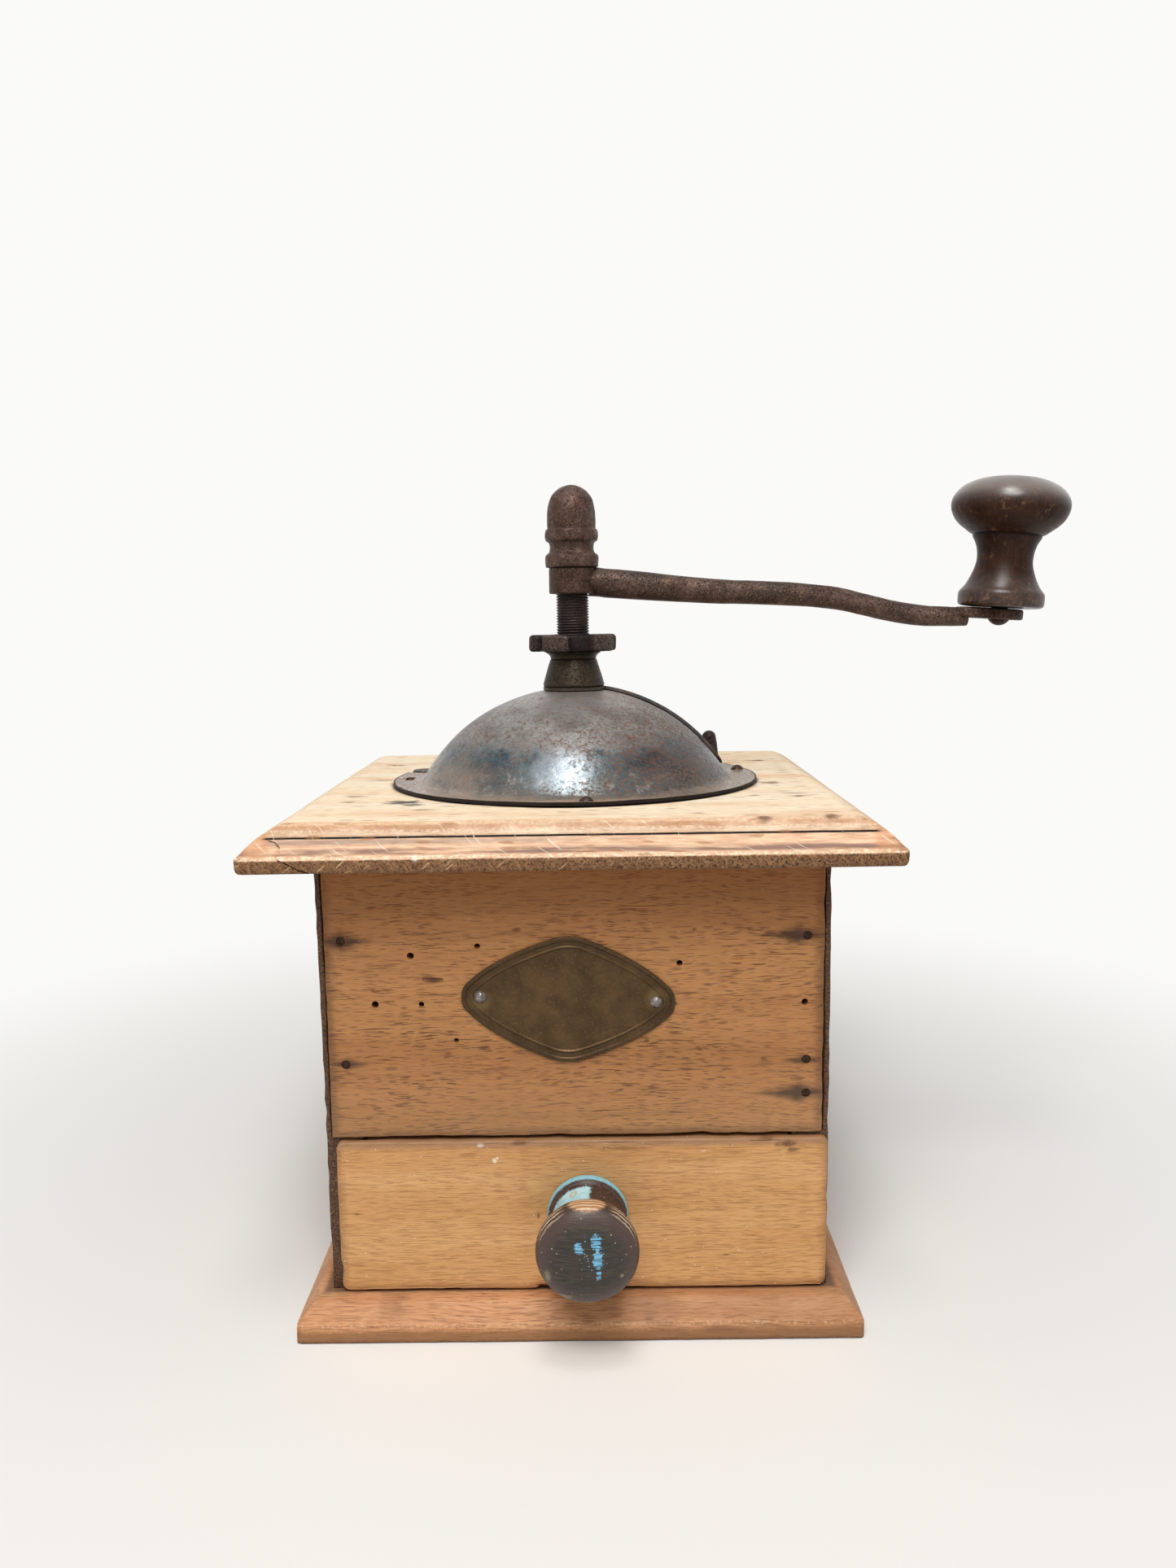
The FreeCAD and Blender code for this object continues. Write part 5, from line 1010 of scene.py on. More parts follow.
def domeFinish():
    f = Finish("domeIron")
    h, level = hopper, hopper["level"]
    ring = f.fromAxis()
    broad = f.cloud(f.place, 0.035, 4, 0.6)
    blotch = f.cloud(f.place, 0.11, 6, 0.65)
    fine = f.cloud(f.place, 0.9, 6, 0.72)
    grain = f.cloud(f.place, 3.2, 3, 0.6)
    f.ground(f.ease(blotch, 0.32, 0.68), h["light"], h["dark"])
    f.lay(f.times(f.ease(fine, 0.46, 0.66), 0.6), h["freckle"])
    # painted sheen with dust: the crown round the boss made lighter
    f.lay(f.times(f.ease(ring, 30.0, 14.0), 0.62), h["rubbed"])
    f.lay(f.times(f.ease(ring, 24.0, 9.0), f.ease(blotch, 0.35, 0.6), 0.3), h["olive"])
    # smooth petrol paint left low down
    low = f.ease(f.plus(f.z, f.times(f.minus(blotch, 0.5), 22.0)), 159.0, 150.0)
    paint = f.times(low, f.ease(f.cloud(f.place, 0.3, 6, 0.7), 0.3, 0.46))
    f.lay(f.times(paint, 0.93), f.mix(f.ease(fine, 0.35, 0.65), h["paint"], h["paintDeep"]))
    bareAndHighlight = f.spots(h["bareAndHighlight"], f.wobble(f.place, 0.3, 1.1))  # rubbed down to smooth metal and lighter; the front patch is also a painted highlight
    f.lay(f.times(bareAndHighlight, 0.6), h["bareAndHighlightTone"])
    f.lay(f.spots(h["navy"], f.wobble(f.place, 0.25, 1.2)), h["navyTone"])
    # rust: fine pits all over, thicker on the right, a patch round the front nail
    pitField = f.plus(f.cloud(f.place, 1.0, 6, 0.8), f.ease(f.x, -30, 35, -0.02, 0.035))
    calm = f.minus(1.0, f.times(bareAndHighlight, 0.85))
    pits = f.times(f.ease(pitField, 0.535, 0.6), f.ease(broad, 0.3, 0.55, 0.45, 1.0), calm)
    clusters = f.times(f.ease(f.cloud(f.place, 0.25, 6, 0.8), 0.55, 0.63), f.ease(fine, 0.42, 0.54), calm)
    nail = f.ease(f.away((*h["nail"], level), (13, 5.5, 6), f.wobble(f.place, 0.25, 2.4, 6)), 1.0, 0.6)
    rust = f.most(f.times(pits, 0.8), f.times(clusters, 0.75), f.times(nail, 0.95))
    f.lay(rust, f.mix(f.ease(grain, 0.4, 0.65), h["rust"], h["rustLight"]))
    f.lay(f.times(f.ease(f.x, 4, 40), 0.35), h["shadeAndTarnish"])  # painted shade on the right side, with tarnish
    # dusty flange, rusty at the left, with a dark edge
    settled = f.times(f.ease(f.z, 155, 146), f.ease(f.x, 0, -44, 0.25, 0.85),
                      f.ease(blotch, 0.3, 0.6, 0.3, 0.9), calm)
    f.lay(f.times(settled, 0.7), h["dust"])
    flange = f.times(f.ease(ring, 46.5, 50.5), f.ease(f.z, level + 2.4, level + 0.1))
    # flange dust, darker to the right with painted shade
    dustTone = f.mix(f.ease(f.x, -50, 50), h["dust"], h["dustAndShadeRight"])
    f.lay(f.times(flange, f.ease(blotch, 0.3, 0.6, 0.4, 0.85)), dustTone)
    leftRust = f.times(flange, f.ease(f.x, -34, -50), f.ease(fine, 0.36, 0.56))
    f.lay(f.times(leftRust, 0.8), h["rust"])
    rim = f.times(f.ease(ring, h["flange"] - 0.7, h["flange"] - 0.15), f.ease(f.z, level + 1.9, level + 1.1))
    f.lay(f.times(rim, 0.97), h["edge"])
    smooth = f.times(low, f.minus(1.0, rust))
    rough = f.plus(f.minus(f.ease(fine, 0.3, 0.75, 0.4, 0.56), f.times(smooth, 0.22)), f.times(rust, 0.2))
    rough = f.plus(rough, f.times(rim, 0.3))
    metalShare = f.minus(f.minus(0.85, f.times(paint, 0.3)), f.times(rust, 0.65))
    metalShare = f.times(metalShare, f.ease(f.times(flange, fine), 0.15, 0.5, 1.0, 0.45))
    height = f.minus(f.plus(f.times(fine, 0.5), f.times(rust, grain, 1.4)), f.times(pits, 0.9))
    return f.done(rough, f.relief(height, 0.07), metalShare, Specular_IOR_Level=0.2)


def domeRun(sphere, brim):  # from the seat of the boss down to the brim
    steps = 28
    start = degrees(asin(hopper["seat"] / sphere))
    angles = [radians(start + (brim - start) * i / steps) for i in range(steps + 1)]
    return [(sphere * sin(angle), hopper["centre"] + sphere * cos(angle)) for angle in angles]


def sheetUp(bm, thick):  # a bare surface made into sheet, its outer face kept
    bmesh.ops.recalc_face_normals(bm, faces=bm.faces)
    crownLevel = 160
    if next(face for face in bm.faces if face.calc_center_median().z > crownLevel).normal.z < 0:
        bmesh.ops.reverse_faces(bm, faces=bm.faces)
    bmesh.ops.solidify(bm, geom=bm.faces[:], thickness=thick)


def hopperDome():
    h, mouth, notch, slot = hopper, hopper["mouth"], hopper["notch"], hopper["slot"]
    level, brimRing, wide = h["level"], h["ring"], h["flange"] - h["ring"]
    run = domeRun(h["sphere"], h["brim"])
    run = [(h["bore"], run[0][1]), (h["inner"], run[0][1])] + run
    lean = radians(90 - h["brim"]) * 0.94
    middle = (brimRing - h["fillet"] * sin(lean), level + h["fillet"] * (1 - cos(lean)))
    run += bend(run[-1], middle, (brimRing, level), 6)
    run += [(brimRing + wide * i / 9, level) for i in range(1, 10)]
    bm = turned(run, 360)
    gone = []
    for face in bm.faces:
        spot = face.calc_center_median()
        ring, angle = hypot(spot.x, spot.y), degrees(atan2(spot.y, spot.x))
        polar = degrees(atan2(ring, spot.z - h["centre"]))
        onDome, onFlange = spot.z > level + 3.9, spot.z < level + 0.4
        inMouth = mouth["left"] < angle < mouth["right"] and mouth["high"] < polar < mouth["low"]
        inNotch = notch["left"] < angle < notch["right"] and ring > notch["ring"]
        if inMouth and onDome or inNotch and onFlange:
            gone.append(face)
    bmesh.ops.delete(bm, geom=gone, context="FACES")
    for vert in bm.verts:
        ring = hypot(vert.co.x, vert.co.y)
        if ring > 12:  # clear of the boss
            dent = noise.noise(vert.co / 17.0) * 0.1 + noise.noise(vert.co / 6.0) * 0.03
            vert.co += (vert.co - Vector((0, 0, h["centre"]))).normalized() * dent
        out = (ring - brimRing) / wide
        if out > 0:  # the flange stands a little off the board at the front
            front = max(0.25, -vert.co.y / ring)
            vert.co.z += out * (h["lift"] * front + 0.12 * noise.noise(vert.co / 11.0))
    sheetUp(bm, h["sheet"])
    ring, long, half = slot["ring"], slot["long"], slot["wide"]
    cut = block((-long, -ring - half, 140), (long, -ring + half, 146), 1.2, 4)
    swing(cut, slot["turn"] + 90, "Z")
    carve(bm, cut)
    finishPiece(bm, "hopperDome", "case", "hopper_dome", domeFinish(), 40, facesOut=True)


shutter = dict(sphere=56.2, eye=7.6, collar=8.5, eyeTop=171.37, brim=58.04, start=4, end=118, corner=5.0,
               thick=0.9, light="665b54", dark="4c433d", paint="3c464a", rust="5a3827", rustLight="7c5338",
               bossFootShadowTone="3a3027")


def shutterFinish():
    f = Finish("shutterIron")
    s = shutter
    blotch = f.cloud(f.place, 0.12, 6, 0.65)
    fine = f.cloud(f.place, 0.9, 6, 0.7)
    f.ground(f.ease(blotch, 0.32, 0.68), s["light"], s["dark"])
    paint = f.times(f.ease(f.cloud(f.place, 0.07, 5, 0.7), 0.46, 0.56), f.ease(fine, 0.35, 0.5))
    f.lay(f.times(paint, 0.8), s["paint"])
    rust = f.ease(f.cloud(f.place, 0.3, 6, 0.75), 0.55, 0.66)
    f.lay(f.times(rust, 0.85), f.mix(fine, s["rust"], s["rustLight"]))
    # painted shadow at the boss's foot: the eye made dark like the boss
    f.lay(f.ease(f.fromAxis(), 10.6, 9.6), s["bossFootShadowTone"])
    rough = f.plus(f.ease(fine, 0.3, 0.75, 0.36, 0.5), f.times(rust, 0.3))
    metalShare = f.minus(f.minus(0.85, f.times(paint, 0.4)), f.times(rust, 0.7))
    return f.done(rough, f.relief(f.plus(f.times(fine, 0.4), f.times(rust, 0.8)), 0.09), metalShare)


def shutterLeaf():
    s = shutter
    outer, start, end, corner = s["sphere"], s["start"], s["end"], s["corner"]
    rim, centre = radians(s["brim"]), hopper["centre"]
    run = domeRun(outer, s["brim"])
    run[0] = (hopper["seat"], s["eyeTop"])
    bm = turned([(s["eye"], s["eyeTop"]), (s["collar"], s["eyeTop"])] + run, 360)
    gone = []
    for face in bm.faces:
        spot = face.calc_center_median()
        if hypot(spot.x, spot.y) > hopper["seat"] and not start < degrees(atan2(spot.y, spot.x)) < end:
            gone.append(face)
    bmesh.ops.delete(bm, geom=gone, context="FACES")
    perDegree = radians(1) * outer * sin(rim)
    for vert in bm.verts:  # round the two free corners
        ring, angle = hypot(vert.co.x, vert.co.y), degrees(atan2(vert.co.y, vert.co.x))
        inward = min(angle - start, end - angle) * perDegree
        down = (rim - atan2(ring, vert.co.z - centre)) * outer
        far = hypot(corner - inward, corner - down)
        if ring > 30 and inward < corner and down < corner and far > corner:
            shrink = corner / far
            shift = (corner - (corner - inward) * shrink - inward) / perDegree
            angle = radians(angle + (shift if angle < (start + end) / 2 else -shift))
            polar = rim - (corner - (corner - down) * shrink) / outer
            ring = outer * sin(polar)
            vert.co = (ring * cos(angle), ring * sin(angle), centre + outer * cos(polar))
    sheetUp(bm, s["thick"])
    finishPiece(bm, "shutterLeaf", "shutter", "shutter", shutterFinish(), 40, facesOut=True)


pitTone = "120c0a"


def rustedIron(name, iron):
    f = Finish(name)
    blotch = f.cloud(f.place, iron["patch"], 6, 0.65)
    fine = f.cloud(f.place, 1.2, 6, 0.75)
    grain = f.cloud(f.place, 3.6, 3, 0.6)
    f.ground(f.ease(blotch, 0.32, 0.68), iron["light"], iron["dark"])
    rust = f.ease(f.plus(f.cloud(f.place, iron["patch"] * 2.2, 6, 0.75), iron["rusting"]), 0.5, 0.64)
    f.lay(f.times(rust, 0.8), f.mix(f.ease(grain, 0.35, 0.65), iron["rust"], iron["rustDeep"]))
    speck = f.ease(f.cloud(f.place, 1.6, 5, 0.75), 0.54, 0.64)
    f.lay(f.times(speck, 0.6), iron["speck"])
    if "rubbed" in iron:
        ring = f.fromAxis()
        inner, outer, hollow, edge = iron["rubbed"]
        f.lay(f.ease(ring, inner + 1.0, inner, 0, 0.75), hollow)
        f.lay(f.times(f.ease(ring, outer, outer + 0.6), f.ease(fine, 0.4, 0.62), 0.4), edge)
    if "shadeAndTarnish" in iron:
        # painted shade with tarnish at the spots listed
        f.lay(f.spots(iron["shadeAndTarnish"]), iron["shadeAndTarnishTone"])
    pits = f.ease(f.cloud(f.place, 1.5, 5, 0.8), 0.55, 0.63)
    f.lay(f.times(pits, 0.75), pitTone)
    rough = f.plus(f.ease(fine, 0.3, 0.75, iron["gloss"], iron["gloss"] + 0.14), f.times(rust, 0.2))
    metalShare = f.minus(iron["metal"], f.times(rust, iron["metal"] * 0.6))
    height = f.minus(f.plus(f.times(fine, 0.7), f.times(rust, grain, 0.9)), pits)
    return f.done(rough, f.relief(height, iron["pitting"]), metalShare, Specular_IOR_Level=0.22)


crankIron = dict(light="644e45", dark="392c27", rust="4e3427", rustDeep="2f1e18", speck="967a68", patch=0.09,
                 rusting=0.02, gloss=0.38, metal=0.4, pitting=0.16, shadeAndTarnishTone="331809",
                 # painted shade with tarnish on the hub and at the arm's end
                 shadeAndTarnish=[((0, 0, 203.8), (12, 12, 9), 0.75), ((131, 0, 192), (15, 12, 7), 0.85)])
acornIron = dict(light="6a534b", dark="3c2d28", rust="5a3c2e", rustDeep="33211b", speck="857064", patch=0.16,
                 rusting=0.06, gloss=0.34, metal=0.4, pitting=0.18)
nutIron = dict(light="40322d", dark="281e1b", rust="46291f", rustDeep="281914", speck="6d5b53", patch=0.18,
               rusting=0.0, gloss=0.36, metal=0.4, pitting=0.16)
# dark within the first radius, bare beyond the second
starIron = dict(nutIron, light="3d2f2a", rubbed=(11.0, 12.9, "16100e", "7d6a60"))
bossIron = dict(light="392f23", dark="271f17", rust="38291c", rustDeep="231913", speck="5e5038", patch=0.14,
                rusting=-0.05, gloss=0.36, metal=0.4, pitting=0.1)
spindleIron = dict(light="3a302c", dark="241c19", rust="3b261f", rustDeep="221612", speck="5c4f4a", patch=0.2,
                   rusting=0.0, gloss=0.36, metal=0.4, pitting=0.05)
nailIron = dict(light="4a3b33", dark="30251f", rust="4a3226", rustDeep="2c1e17", speck="7c6e66", patch=0.4,
                rusting=0.0, gloss=0.32, metal=0.7, pitting=0.08)
boardNailIron = dict(light="402919", dark="2d1c11", rust="482e1c", rustDeep="2b1a10", speck="594030",
                     patch=0.4, rusting=0.05, gloss=0.6, metal=0.1, pitting=0.1)
pinIron = dict(light="8f8984", dark="5d544e", rust="5b4435", rustDeep="453429", speck="c9c6c4", patch=0.5,
               rusting=-0.02, gloss=0.26, metal=0.85, pitting=0.05)
burrIron = dict(light="6d6762", dark="4f4945", rust="5a402f", rustDeep="402c21", speck="8b8681", patch=0.15,
                rusting=-0.03, gloss=0.4, metal=0.75, pitting=0.12)
screwIron = dict(light="7a746e", dark="56504b", rust="5c4332", rustDeep="43301f", speck="a29c96", patch=0.4,
                 rusting=-0.04, gloss=0.32, metal=0.85, pitting=0.06)

# radius and height
acorn = dict(bore=3.1, foot=207.9, floor=222.4,
             lower=[(7.7, 207.9), (8.05, 208.2), (8.15, 209.0), (8.2, 210.4), (8.1, 211.3), (7.7, 211.9)],
             neck=[(7.45, 212.0), (6.95, 212.6), (6.75, 213.9), (6.95, 215.2), (7.4, 215.7)],
             upper=[(7.65, 215.8), (8.0, 216.2), (8.2, 217.2), (8.15, 218.4), (7.95, 219.2), (7.6, 219.5)],
             body=[(7.4, 219.6), (7.45, 220.6), (7.42, 222.8), (7.25, 225.2), (6.85, 227.3), (6.2, 229.0),
                   (5.0, 230.6), (3.5, 231.75), (1.7, 232.5), (0, 232.8)])


def acornNut():
    a = acorn
    run = [(a["bore"], a["foot"])] + fair(a["lower"]) + fair(a["neck"]) + fair(a["upper"]) + fair(a["body"])
    bm = turned(run + [(0, a["floor"]), (a["bore"], a["floor"])], 96, True)
    roughen(bm, a["bore"] + 0.2, (4.0, 0.08), (1.3, 0.06))
    finishPiece(bm, "acornNut", "crank", "acorn_nut", rustedIron("acornIron", acornIron), 40)


spindle = dict(crest=5.05, root=4.62, pitch=0.84, around=40, low=183.0, high=199.95,
               # radius and height
               shaft=[(0, 87), (4.0, 87), (4.0, 100), (4.4, 100), (4.4, 126), (5.05, 126), (5.05, 184.0),
                      (0, 184.0)],
               stem=[(0, 199.6), (3.05, 199.6), (3.05, 222.3), (0, 222.3)])


def threadedSpindle():
    s = spindle
    crest, root, pitch, around = s["crest"], s["root"], s["pitch"], s["around"]
    turns = int((s["high"] - s["low"]) / pitch) + 3  # some to trim off at both ends
    tooth = [(root, 0.0), (root + 0.02, 0.1), (crest - 0.04, 0.36), (crest, 0.46), (crest - 0.04, 0.56),
             (root + 0.02, 0.8), (root, pitch)]
    bm = bmesh.new()
    chain = [bm.verts.new((r, 0, s["low"] - pitch + z)) for r, z in tooth]
    edges = [bm.edges.new(pair) for pair in zip(chain, chain[1:])]
    bmesh.ops.spin(bm, geom=chain + edges, cent=(0, 0, 0), axis=(0, 0, 1), angle=2 * pi * turns,
                   steps=around * turns, dvec=(0, 0, pitch / around))
    bmesh.ops.remove_doubles(bm, verts=bm.verts, dist=1e-3)
    for level, way in ((s["low"], -1), (s["high"], 1)):
        trimmed = bmesh.ops.bisect_plane(bm, geom=whole(bm), dist=1e-4, plane_co=(0, 0, level),
                                         plane_no=(0, 0, way), clear_outer=True)
        rim = [item for item in trimmed["geom_cut"] if isinstance(item, bmesh.types.BMEdge)]
        bmesh.ops.edgeloop_fill(bm, edges=rim)
    join(bm, turned(s["shaft"], 64), turned(s["stem"], 48))
    finish = rustedIron("spindleIron", spindleIron)
    finishPiece(bm, "threadedSpindle", "crank", "spindle", finish, 50)


starLow, starHigh = corners("adjusting_nut")
star = dict(low=starLow[2], high=starHigh[2], radius=13.7, notch=10.5, bore=5.15, lobe=39.5, lobes=5,
            turn=-114.2, early=2.2, fade=5.6, edge=1.1)


def starNut():
    s = star
    pitch = 360 / s["lobes"]
    bm = bmesh.new()
    level = Matrix.Translation((0, 0, s["low"]))
    outer, inner = (bmesh.ops.create_circle(bm, cap_ends=False, segments=240, radius=ring,
                                            matrix=level)["verts"] for ring in (s["radius"], s["bore"]))
    for vert in outer:
        angle = degrees(atan2(vert.co.y, vert.co.x))
        off = abs((angle - s["turn"] + pitch / 2) % pitch - pitch / 2)  # from the middle of the nearest lobe
        fade = min(1.0, max(0.0, (off - s["lobe"] / 2 + s["early"]) / s["fade"]))
        ring = s["radius"] - (s["radius"] - s["notch"]) * fade * fade * (3 - 2 * fade)
        vert.co.x, vert.co.y = ring * cos(radians(angle)), ring * sin(radians(angle))
    edges = {edge for loop in (outer, inner) for vert in loop for edge in vert.link_edges}
    bmesh.ops.bridge_loops(bm, edges=list(edges))
    drawOut(bm, bm.faces[:], (0, 0, s["high"] - s["low"]))
    rims = [e for e in bm.edges if e.calc_face_angle(0) > 1.2 and abs(e.verts[0].co.z - e.verts[1].co.z) < 1
            and all(hypot(v.co.x, v.co.y) > 8 for v in e.verts)]
    softenEdges(bm, rims, s["edge"], 4)
    roughen(bm, 6, (5.0, 0.1), (1.6, 0.05))
    finish = rustedIron("starNutIron", starIron)
    finishPiece(bm, "starNut", "adjusting_nut", "adjusting_nut", finish, 45, facesOut=True)


# radius and height
boss = dict(bore=5.12, inner=[(6.2, 166.2), (6.2, 170.2), (7.5, 170.2), (7.5, 171.47)],
            cone=[(9.1, 171.47), (9.48, 171.75), (9.5, 172.3), (9.22, 173.3), (8.6, 175.4), (7.95, 177.5),
                  (7.35, 179.4), (7.1, 179.85), (6.9, 180.02)],
            washer=[(6.95, 180.02), (7.1, 180.25), (7.25, 180.8), (7.7, 181.4), (8.3, 181.75), (8.42, 182.0),
                    (8.25, 182.2)])


def bossAndWasher():
    bore, head = boss["bore"], boss["washer"][0][1]
    finish = rustedIron("bossIron", bossIron)
    run = [(bore, boss["inner"][0][1])] + boss["inner"] + fair(boss["cone"], 3) + [(bore, head)]
    bm = turned(run, 96, True)
    roughen(bm, 7.6, (5.0, 0.06))
    finishPiece(bm, "bossCone", "case", "boss", finish, 40)
    loose = bore + 0.1
    run = [(loose, head)] + fair(boss["washer"], 3) + [(loose, boss["washer"][-1][1])]
    finishPiece(turned(run, 96, True), "thrustWasher", "case", "thrust_washer", finish, 40)


# distance along, height of the middle, thickness
arm = dict(run=[(5.2, 203.45, 9.0), (8.0, 203.3, 9.0), (10.4, 203.0, 8.95), (14.2, 202.7, 8.85),
                (22.2, 201.97, 8.6), (34.2, 200.8, 7.95), (46.2, 199.92, 7.45), (58.2, 199.35, 7.2),
                (70.2, 198.67, 7.0), (76.5, 198.0, 6.95), (84.2, 196.77, 6.9), (90.2, 195.35, 6.85),
                (96.2, 193.77, 6.75), (102.2, 192.5, 6.55), (108.2, 191.72, 6.3), (113.5, 191.35, 6.05),
                (118.5, 191.15, 5.8), (121.7, 191.12, 5.5)],
           # radius and height
           hub=[(3.15, 199.95), (6.75, 199.95), (7.05, 200.1), (7.15, 200.45), (7.15, 207.3), (7.05, 207.65),
                (6.75, 207.82), (3.15, 207.82)],
           breadth=0.475, foot=(132.0, 0.0, 193.41), tilt=4.2, thick=3.2, half=6.5, end=7.2, tail=13.0,
           pin=2.56)


def crankArm():
    bm = bmesh.new()
    stations = fair(arm["run"], 3)
    last = len(stations) - 1
    loops = []
    for i, (x, z, tall) in enumerate(stations):
        ahead, behind = stations[min(i + 1, last)], stations[max(i - 1, 0)]
        slope = atan2(ahead[1] - behind[1], ahead[0] - behind[0])
        turn = Matrix.Rotation(-slope, 4, "Y") @ Matrix.Rotation(radians(90), 4, "Y")
        section = Matrix.Diagonal((tall / 2 * cos(slope), tall * arm["breadth"], 1, 1))
        circle = bmesh.ops.create_circle(bm, cap_ends=i in (0, last), segments=32, radius=1,
                                         matrix=Matrix.Translation((x, 0, z)) @ turn @ section)
        loops.append([edge for edge in bm.edges if all(v in circle["verts"] for v in edge.verts)])
    for near, far in zip(loops, loops[1:]):
        bmesh.ops.bridge_loops(bm, edges=near + far)
    bmesh.ops.remove_doubles(bm, verts=bm.verts, dist=1e-4)
    bmesh.ops.recalc_face_normals(bm, faces=bm.faces)
    roughen(bm, 0, (9.0, 0.16), (3.0, 0.06))
    hub = turned(arm["hub"], 96, True)
    roughen(hub, 6, (6.0, 0.07), (1.6, 0.04))
    carve(bm, hub, "UNION")
    carve(bm, flatTab(), "UNION")
    finishPiece(bm, "crankArm", "crank", "crank_arm", rustedIron("crankIron", crankIron), 42)


def flatTab():
    half, end, tail, thick = (arm[key] for key in ("half", "end", "tail", "thick"))
    near = [(-tail, -half * 0.5), (-tail * 0.62, -half), (0.0, -half)]
    outline = near + bend((0.0, -half), (end * 0.72, -half * 0.7), (end, 0.0), 7)
    outline += bend((end, 0.0), (end * 0.72, half * 0.7), (0.0, half), 7)
    outline += [(x, -y) for x, y in near[1::-1]]
    bm = bmesh.new()
    drawOut(bm, [bm.faces.new([bm.verts.new((x, y, -thick)) for x, y in outline])], (0, 0, thick))
    softenEdges(bm, [e for e in bm.edges if e.calc_face_angle(0) > 1.2], 0.7, 3)
    carve(bm, pegs([(0, 0, 3)], arm["pin"], 10, (0, 0, -1), 32))
    tiltOver(bm)
    return bm


def tiltOver(bm):  # on to the slanting end of the arm
    swing(bm, arm["tilt"], "Y")
    bmesh.ops.translate(bm, vec=arm["foot"], verts=bm.verts)


# radius and height above the arm
knob = dict(foot=[(9.4, 0.34), (11.6, 0.55), (12.45, 0.95), (12.75, 1.8), (12.75, 4.2), (12.5, 5.0)],
            neck=[(12.3, 5.3), (11.2, 6.6), (10.1, 8.5), (9.2, 10.6), (8.5, 12.7), (8.2, 14.8), (8.42, 17.4),
                  (9.1, 19.8), (9.95, 21.4)],
            groove=[(10.2, 21.95), (10.12, 22.3)],
            head=[(10.4, 22.5), (11.05, 22.75), (12.2, 23.6), (14.1, 25.0), (15.65, 26.5), (16.7, 28.2),
                  (17.3, 29.9), (17.42, 31.7), (16.95, 33.5), (15.85, 35.2), (14.3, 36.7), (11.8, 38.1),
                  (8.9, 39.1), (6.0, 39.6), (5.0, 39.62)],
            well=[(4.75, 39.5), (4.75, 37.2), (2.6, 37.2)], bore=2.6, light="38231a", dark="261710",
            lines="1b1310", streak="4a3226", worn="7a5c42", dust="76685f", cut="140e0b",
            cutAt=22.2, tannedHead=(27.5, 32.5), tannedFoot=(0.8, 4.6), dustAndHighlight=(34.5, 37.8))  # heights


def knobFinish():
    f = Finish("crankKnobWood")
    k = knob
    local = f.stretch(f.place, 1, (0, -arm["tilt"], 0))
    fine = f.cloud(f.place, 0.9, 5, 0.65)
    blotch = f.cloud(f.place, 0.12, 5, 0.6)
    lathe = f.cloud(f.stretch(local, (0.12, 0.12, 2.2)), 1, 4, 0.65)
    upright = f.cloud(f.stretch(local, (1.3, 1.3, 0.09)), 1, 4, 0.6)
    f.ground(f.ease(blotch, 0.32, 0.68), k["light"], k["dark"])
    f.lay(f.ease(upright, 0.45, 0.72, 0, 0.6), k["streak"])
    f.lay(f.ease(lathe, 0.5, 0.72, 0, 0.5), k["lines"])
    worn = f.times(f.ease(f.cloud(f.place, 0.2, 5, 0.7), 0.55, 0.68), f.ease(fine, 0.4, 0.6))
    f.lay(f.times(worn, 0.5), k["worn"])
    f.lay(f.times(f.ease(f.z, 203, 196), f.ease(fine, 0.46, 0.64), 0.25), k["worn"])
    fallen = f.times(f.minus(f.x, arm["foot"][0]), sin(radians(arm["tilt"])))
    up = f.minus(f.plus(f.z, fallen), arm["foot"][2])
    f.lay(f.ease(f.size(up, k["cutAt"]), 0.7, 0.2, 0, 0.6), k["cut"])
    tanned = f.times(f.most(f.band(up, *k["tannedHead"], 1.5), f.band(up, *k["tannedFoot"], 0.6)),
                     f.ease(f.cloud(f.place, 0.35, 4, 0.65), 0.58, 0.68))
    f.lay(f.times(tanned, 0.55), k["worn"])
    # painted highlight with dust: a lighter band round the top of the head
    f.lay(f.times(f.band(up, *k["dustAndHighlight"], 2.2), f.ease(blotch, 0.3, 0.6, 0.4, 0.75)), k["dust"])
    rough = f.plus(f.ease(fine, 0.3, 0.7, 0.28, 0.42), f.times(worn, 0.18))
    polish = f.most(f.ease(up, 29.5, 35.5), f.ease(up, 12, 6, 0, 0.4))  # by the hand
    height = f.plus(f.times(lathe, 0.7), f.times(upright, 0.5))
    return f.done(rough, f.relief(height, 0.08), Specular_IOR_Level=0.1, Coat_Weight=polish,
                  Coat_Roughness=0.3, Coat_IOR=1.7)


def crankKnob():
    k = knob
    run = [(k["bore"], k["foot"][0][1])] + fair(k["foot"], 3) + fair(k["neck"], 3) + k["groove"]
    run += fair(k["head"], 3) + k["well"]
    bm = turned(run, 128, True)
    roughen(bm, 5.2, (8.0, 0.1), (2.5, 0.03))
    tiltOver(bm)
    finishPiece(bm, "crankKnob", "crank_knob", "crank_knob", knobFinish(), 45)


frontPanel()
backPanel()
sideBoard(-1)
sideBoard(1)
basePlate()
topBoard()
badgePlate()
print("mill: case built")
drawerFront()
drawerBox()
drawerKnob()
print("mill: drawer built")
hopperDome()
shutterLeaf()
bossAndWasher()
print("mill: hopper built")
acornNut()
threadedSpindle()
starNut()
crankArm()
crankKnob()
print("mill: crank built")

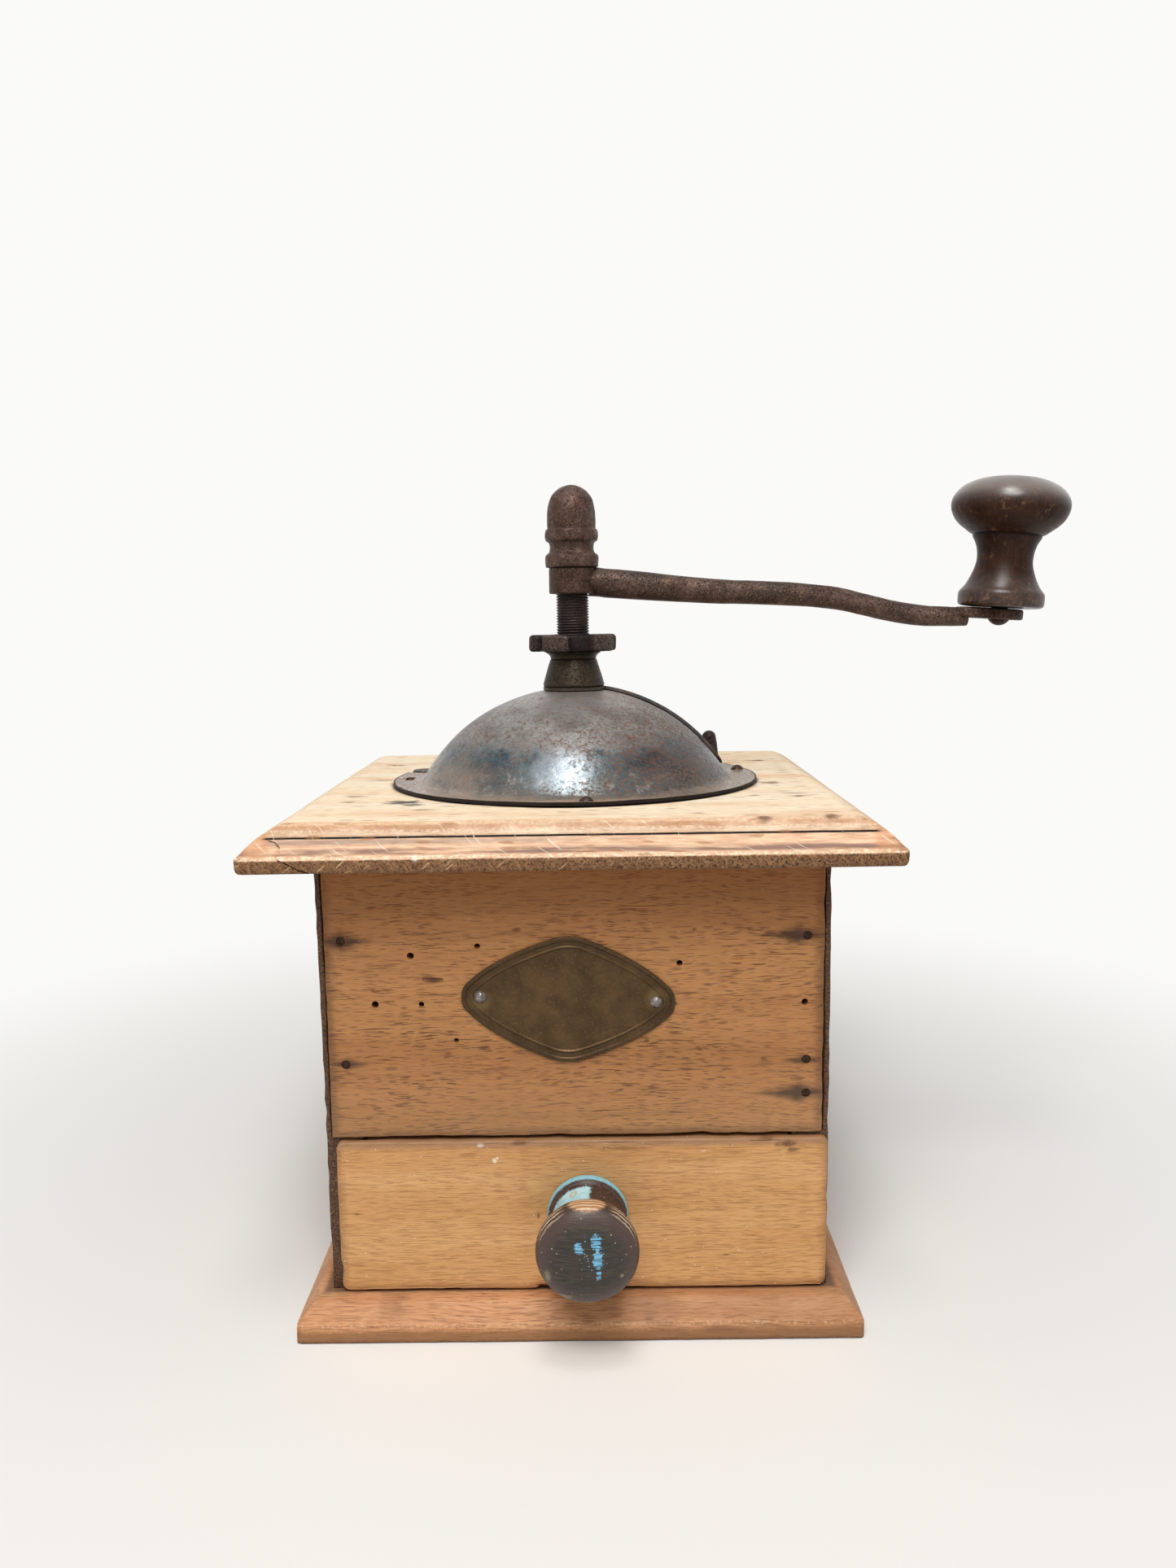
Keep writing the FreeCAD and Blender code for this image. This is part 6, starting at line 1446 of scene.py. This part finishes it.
kept = {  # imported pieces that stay, with their finish
    "boardNailIron": (boardNailIron, ["front_panel_nails", "back_panel_nails", "top_nails", "base_nails",
                                      "drawer_nails"]),
    "nailIron": (nailIron, ["flange_nails", "flange_tack"]),
    "pinIron": (pinIron, ["badge_nails"]),
    "studIron": (nutIron, ["shutter_knob"]),
    "rivetIron": (crankIron, ["knob_pin"]),
    "ringIron": (bossIron, ["boss_ring"]),
    "burrIron": (burrIron, ["outer_burr", "inner_burr", "lower_bridge"]),
    "screwIron": (screwIron, ["inner_burr_pin", "burr_screws", "bridge_screws", "drawer_knob_screw"]),
}
for name, (iron, nodes) in kept.items():
    material = rustedIron(name, iron)
    for node in nodes:
        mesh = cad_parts[node].data
        mesh.materials.clear()
        mesh.materials.append(material)
print("mill: packed pieces finished")

warmWhite = (1, 0.985, 0.96)
room = dict(backdrop=(0.96, 0.955, 0.935, 1), floor=(0.86, 0.855, 0.84, 1), ambient=0.28, floorReach=6,
            fade=(100, 420),  # millimetres out, where the floor turns into the backdrop
            paleRays=["Is Camera Ray", "Is Glossy Ray", "Is Transmission Ray"],
            lamps=dict(skylight=dict(at=(0.02, -0.35, 1.2), aim=(0, 0, 0.15), size=0.3, power=2.9),
                       softbox=dict(at=(-0.06, -0.82, 1.085), aim=(0, -0.05, 0.1), size=0.7, power=12.2)))


def seenDirectly(tree):  # 1 for the rays that should meet the pale background
    ray = tree.add("LightPath", {})
    return tree.most(*[ray.outputs[name] for name in room["paleRays"]])


def floorFinish():
    f = Finish("paleFloor")
    fade = f.ease(f.vector("LENGTH", f.place), *room["fade"])
    seen = f.times(seenDirectly(f), fade)
    matt = f.add("BsdfDiffuse", {"Color": room["floor"]}).outputs[0]
    glow = f.add("Emission", {"Color": room["backdrop"]}).outputs[0]
    blend = f.add("MixShader", {0: seen, 1: matt, 2: glow}).outputs[0]
    f.nodes.remove(f.shader)
    f.feed(f.nodes["Material Output"].inputs["Surface"], blend)
    return f.material


def studio():
    bm = bmesh.new()
    bmesh.ops.create_circle(bm, cap_ends=True, segments=96, radius=room["floorReach"])
    mesh = bpy.data.meshes.new("floor")
    bm.to_mesh(mesh)
    bm.free()
    mesh.materials.append(floorFinish())
    floor = bpy.data.objects.new("floor", mesh)
    scene.collection.objects.link(floor)

    scene.world = bpy.data.worlds.new("paleRoom")
    sky = NodeTree(scene.world)
    # full strength only for what the camera and the metal see
    level = sky.add("MapRange", {"Value": seenDirectly(sky), "To Min": room["ambient"], "To Max": 1.0})
    ground = sky.nodes["Background"]
    sky.feed(ground.inputs["Color"], room["backdrop"])
    sky.feed(ground.inputs["Strength"], level.outputs[0])

    for name, lamp in room["lamps"].items():
        light = bpy.data.lights.new(name, "AREA")
        light.shape = "DISK"
        light.size = lamp["size"]
        light.energy = lamp["power"]
        light.color = warmWhite
        holder = bpy.data.objects.new(name, light)
        scene.collection.objects.link(holder)
        aim = (Vector(lamp["aim"]) - Vector(lamp["at"])).to_track_quat("-Z", "Y")
        holder.matrix_world = Matrix.Translation(lamp["at"]) @ aim.to_matrix().to_4x4()


# metres, degrees, and the focal length and width of the photo in its pixels
view = dict(at=(0.00609, -0.36886, 0.19238), yaw=0.33, pitch=-8.01, roll=-0.84, focal=1448, frameWide=1445)


def camera():
    lens = bpy.data.cameras.new("photoCamera")
    lens.sensor_fit = "HORIZONTAL"
    lens.sensor_width = 36
    lens.lens = lens.sensor_width * view["focal"] / view["frameWide"]
    lens.clip_start = 0.01
    holder = bpy.data.objects.new("photoCamera", lens)
    scene.collection.objects.link(holder)
    holder.matrix_world = (Matrix.Translation(view["at"]) @ Matrix.Rotation(radians(view["yaw"]), 4, "Z")
                           @ Matrix.Rotation(radians(90 + view["pitch"]), 4, "X")
                           @ Matrix.Rotation(radians(view["roll"]), 4, "Z"))
    scene.camera = holder


studio()
camera()
scene.view_settings.view_transform = "Standard"
print("mill: light and camera set")
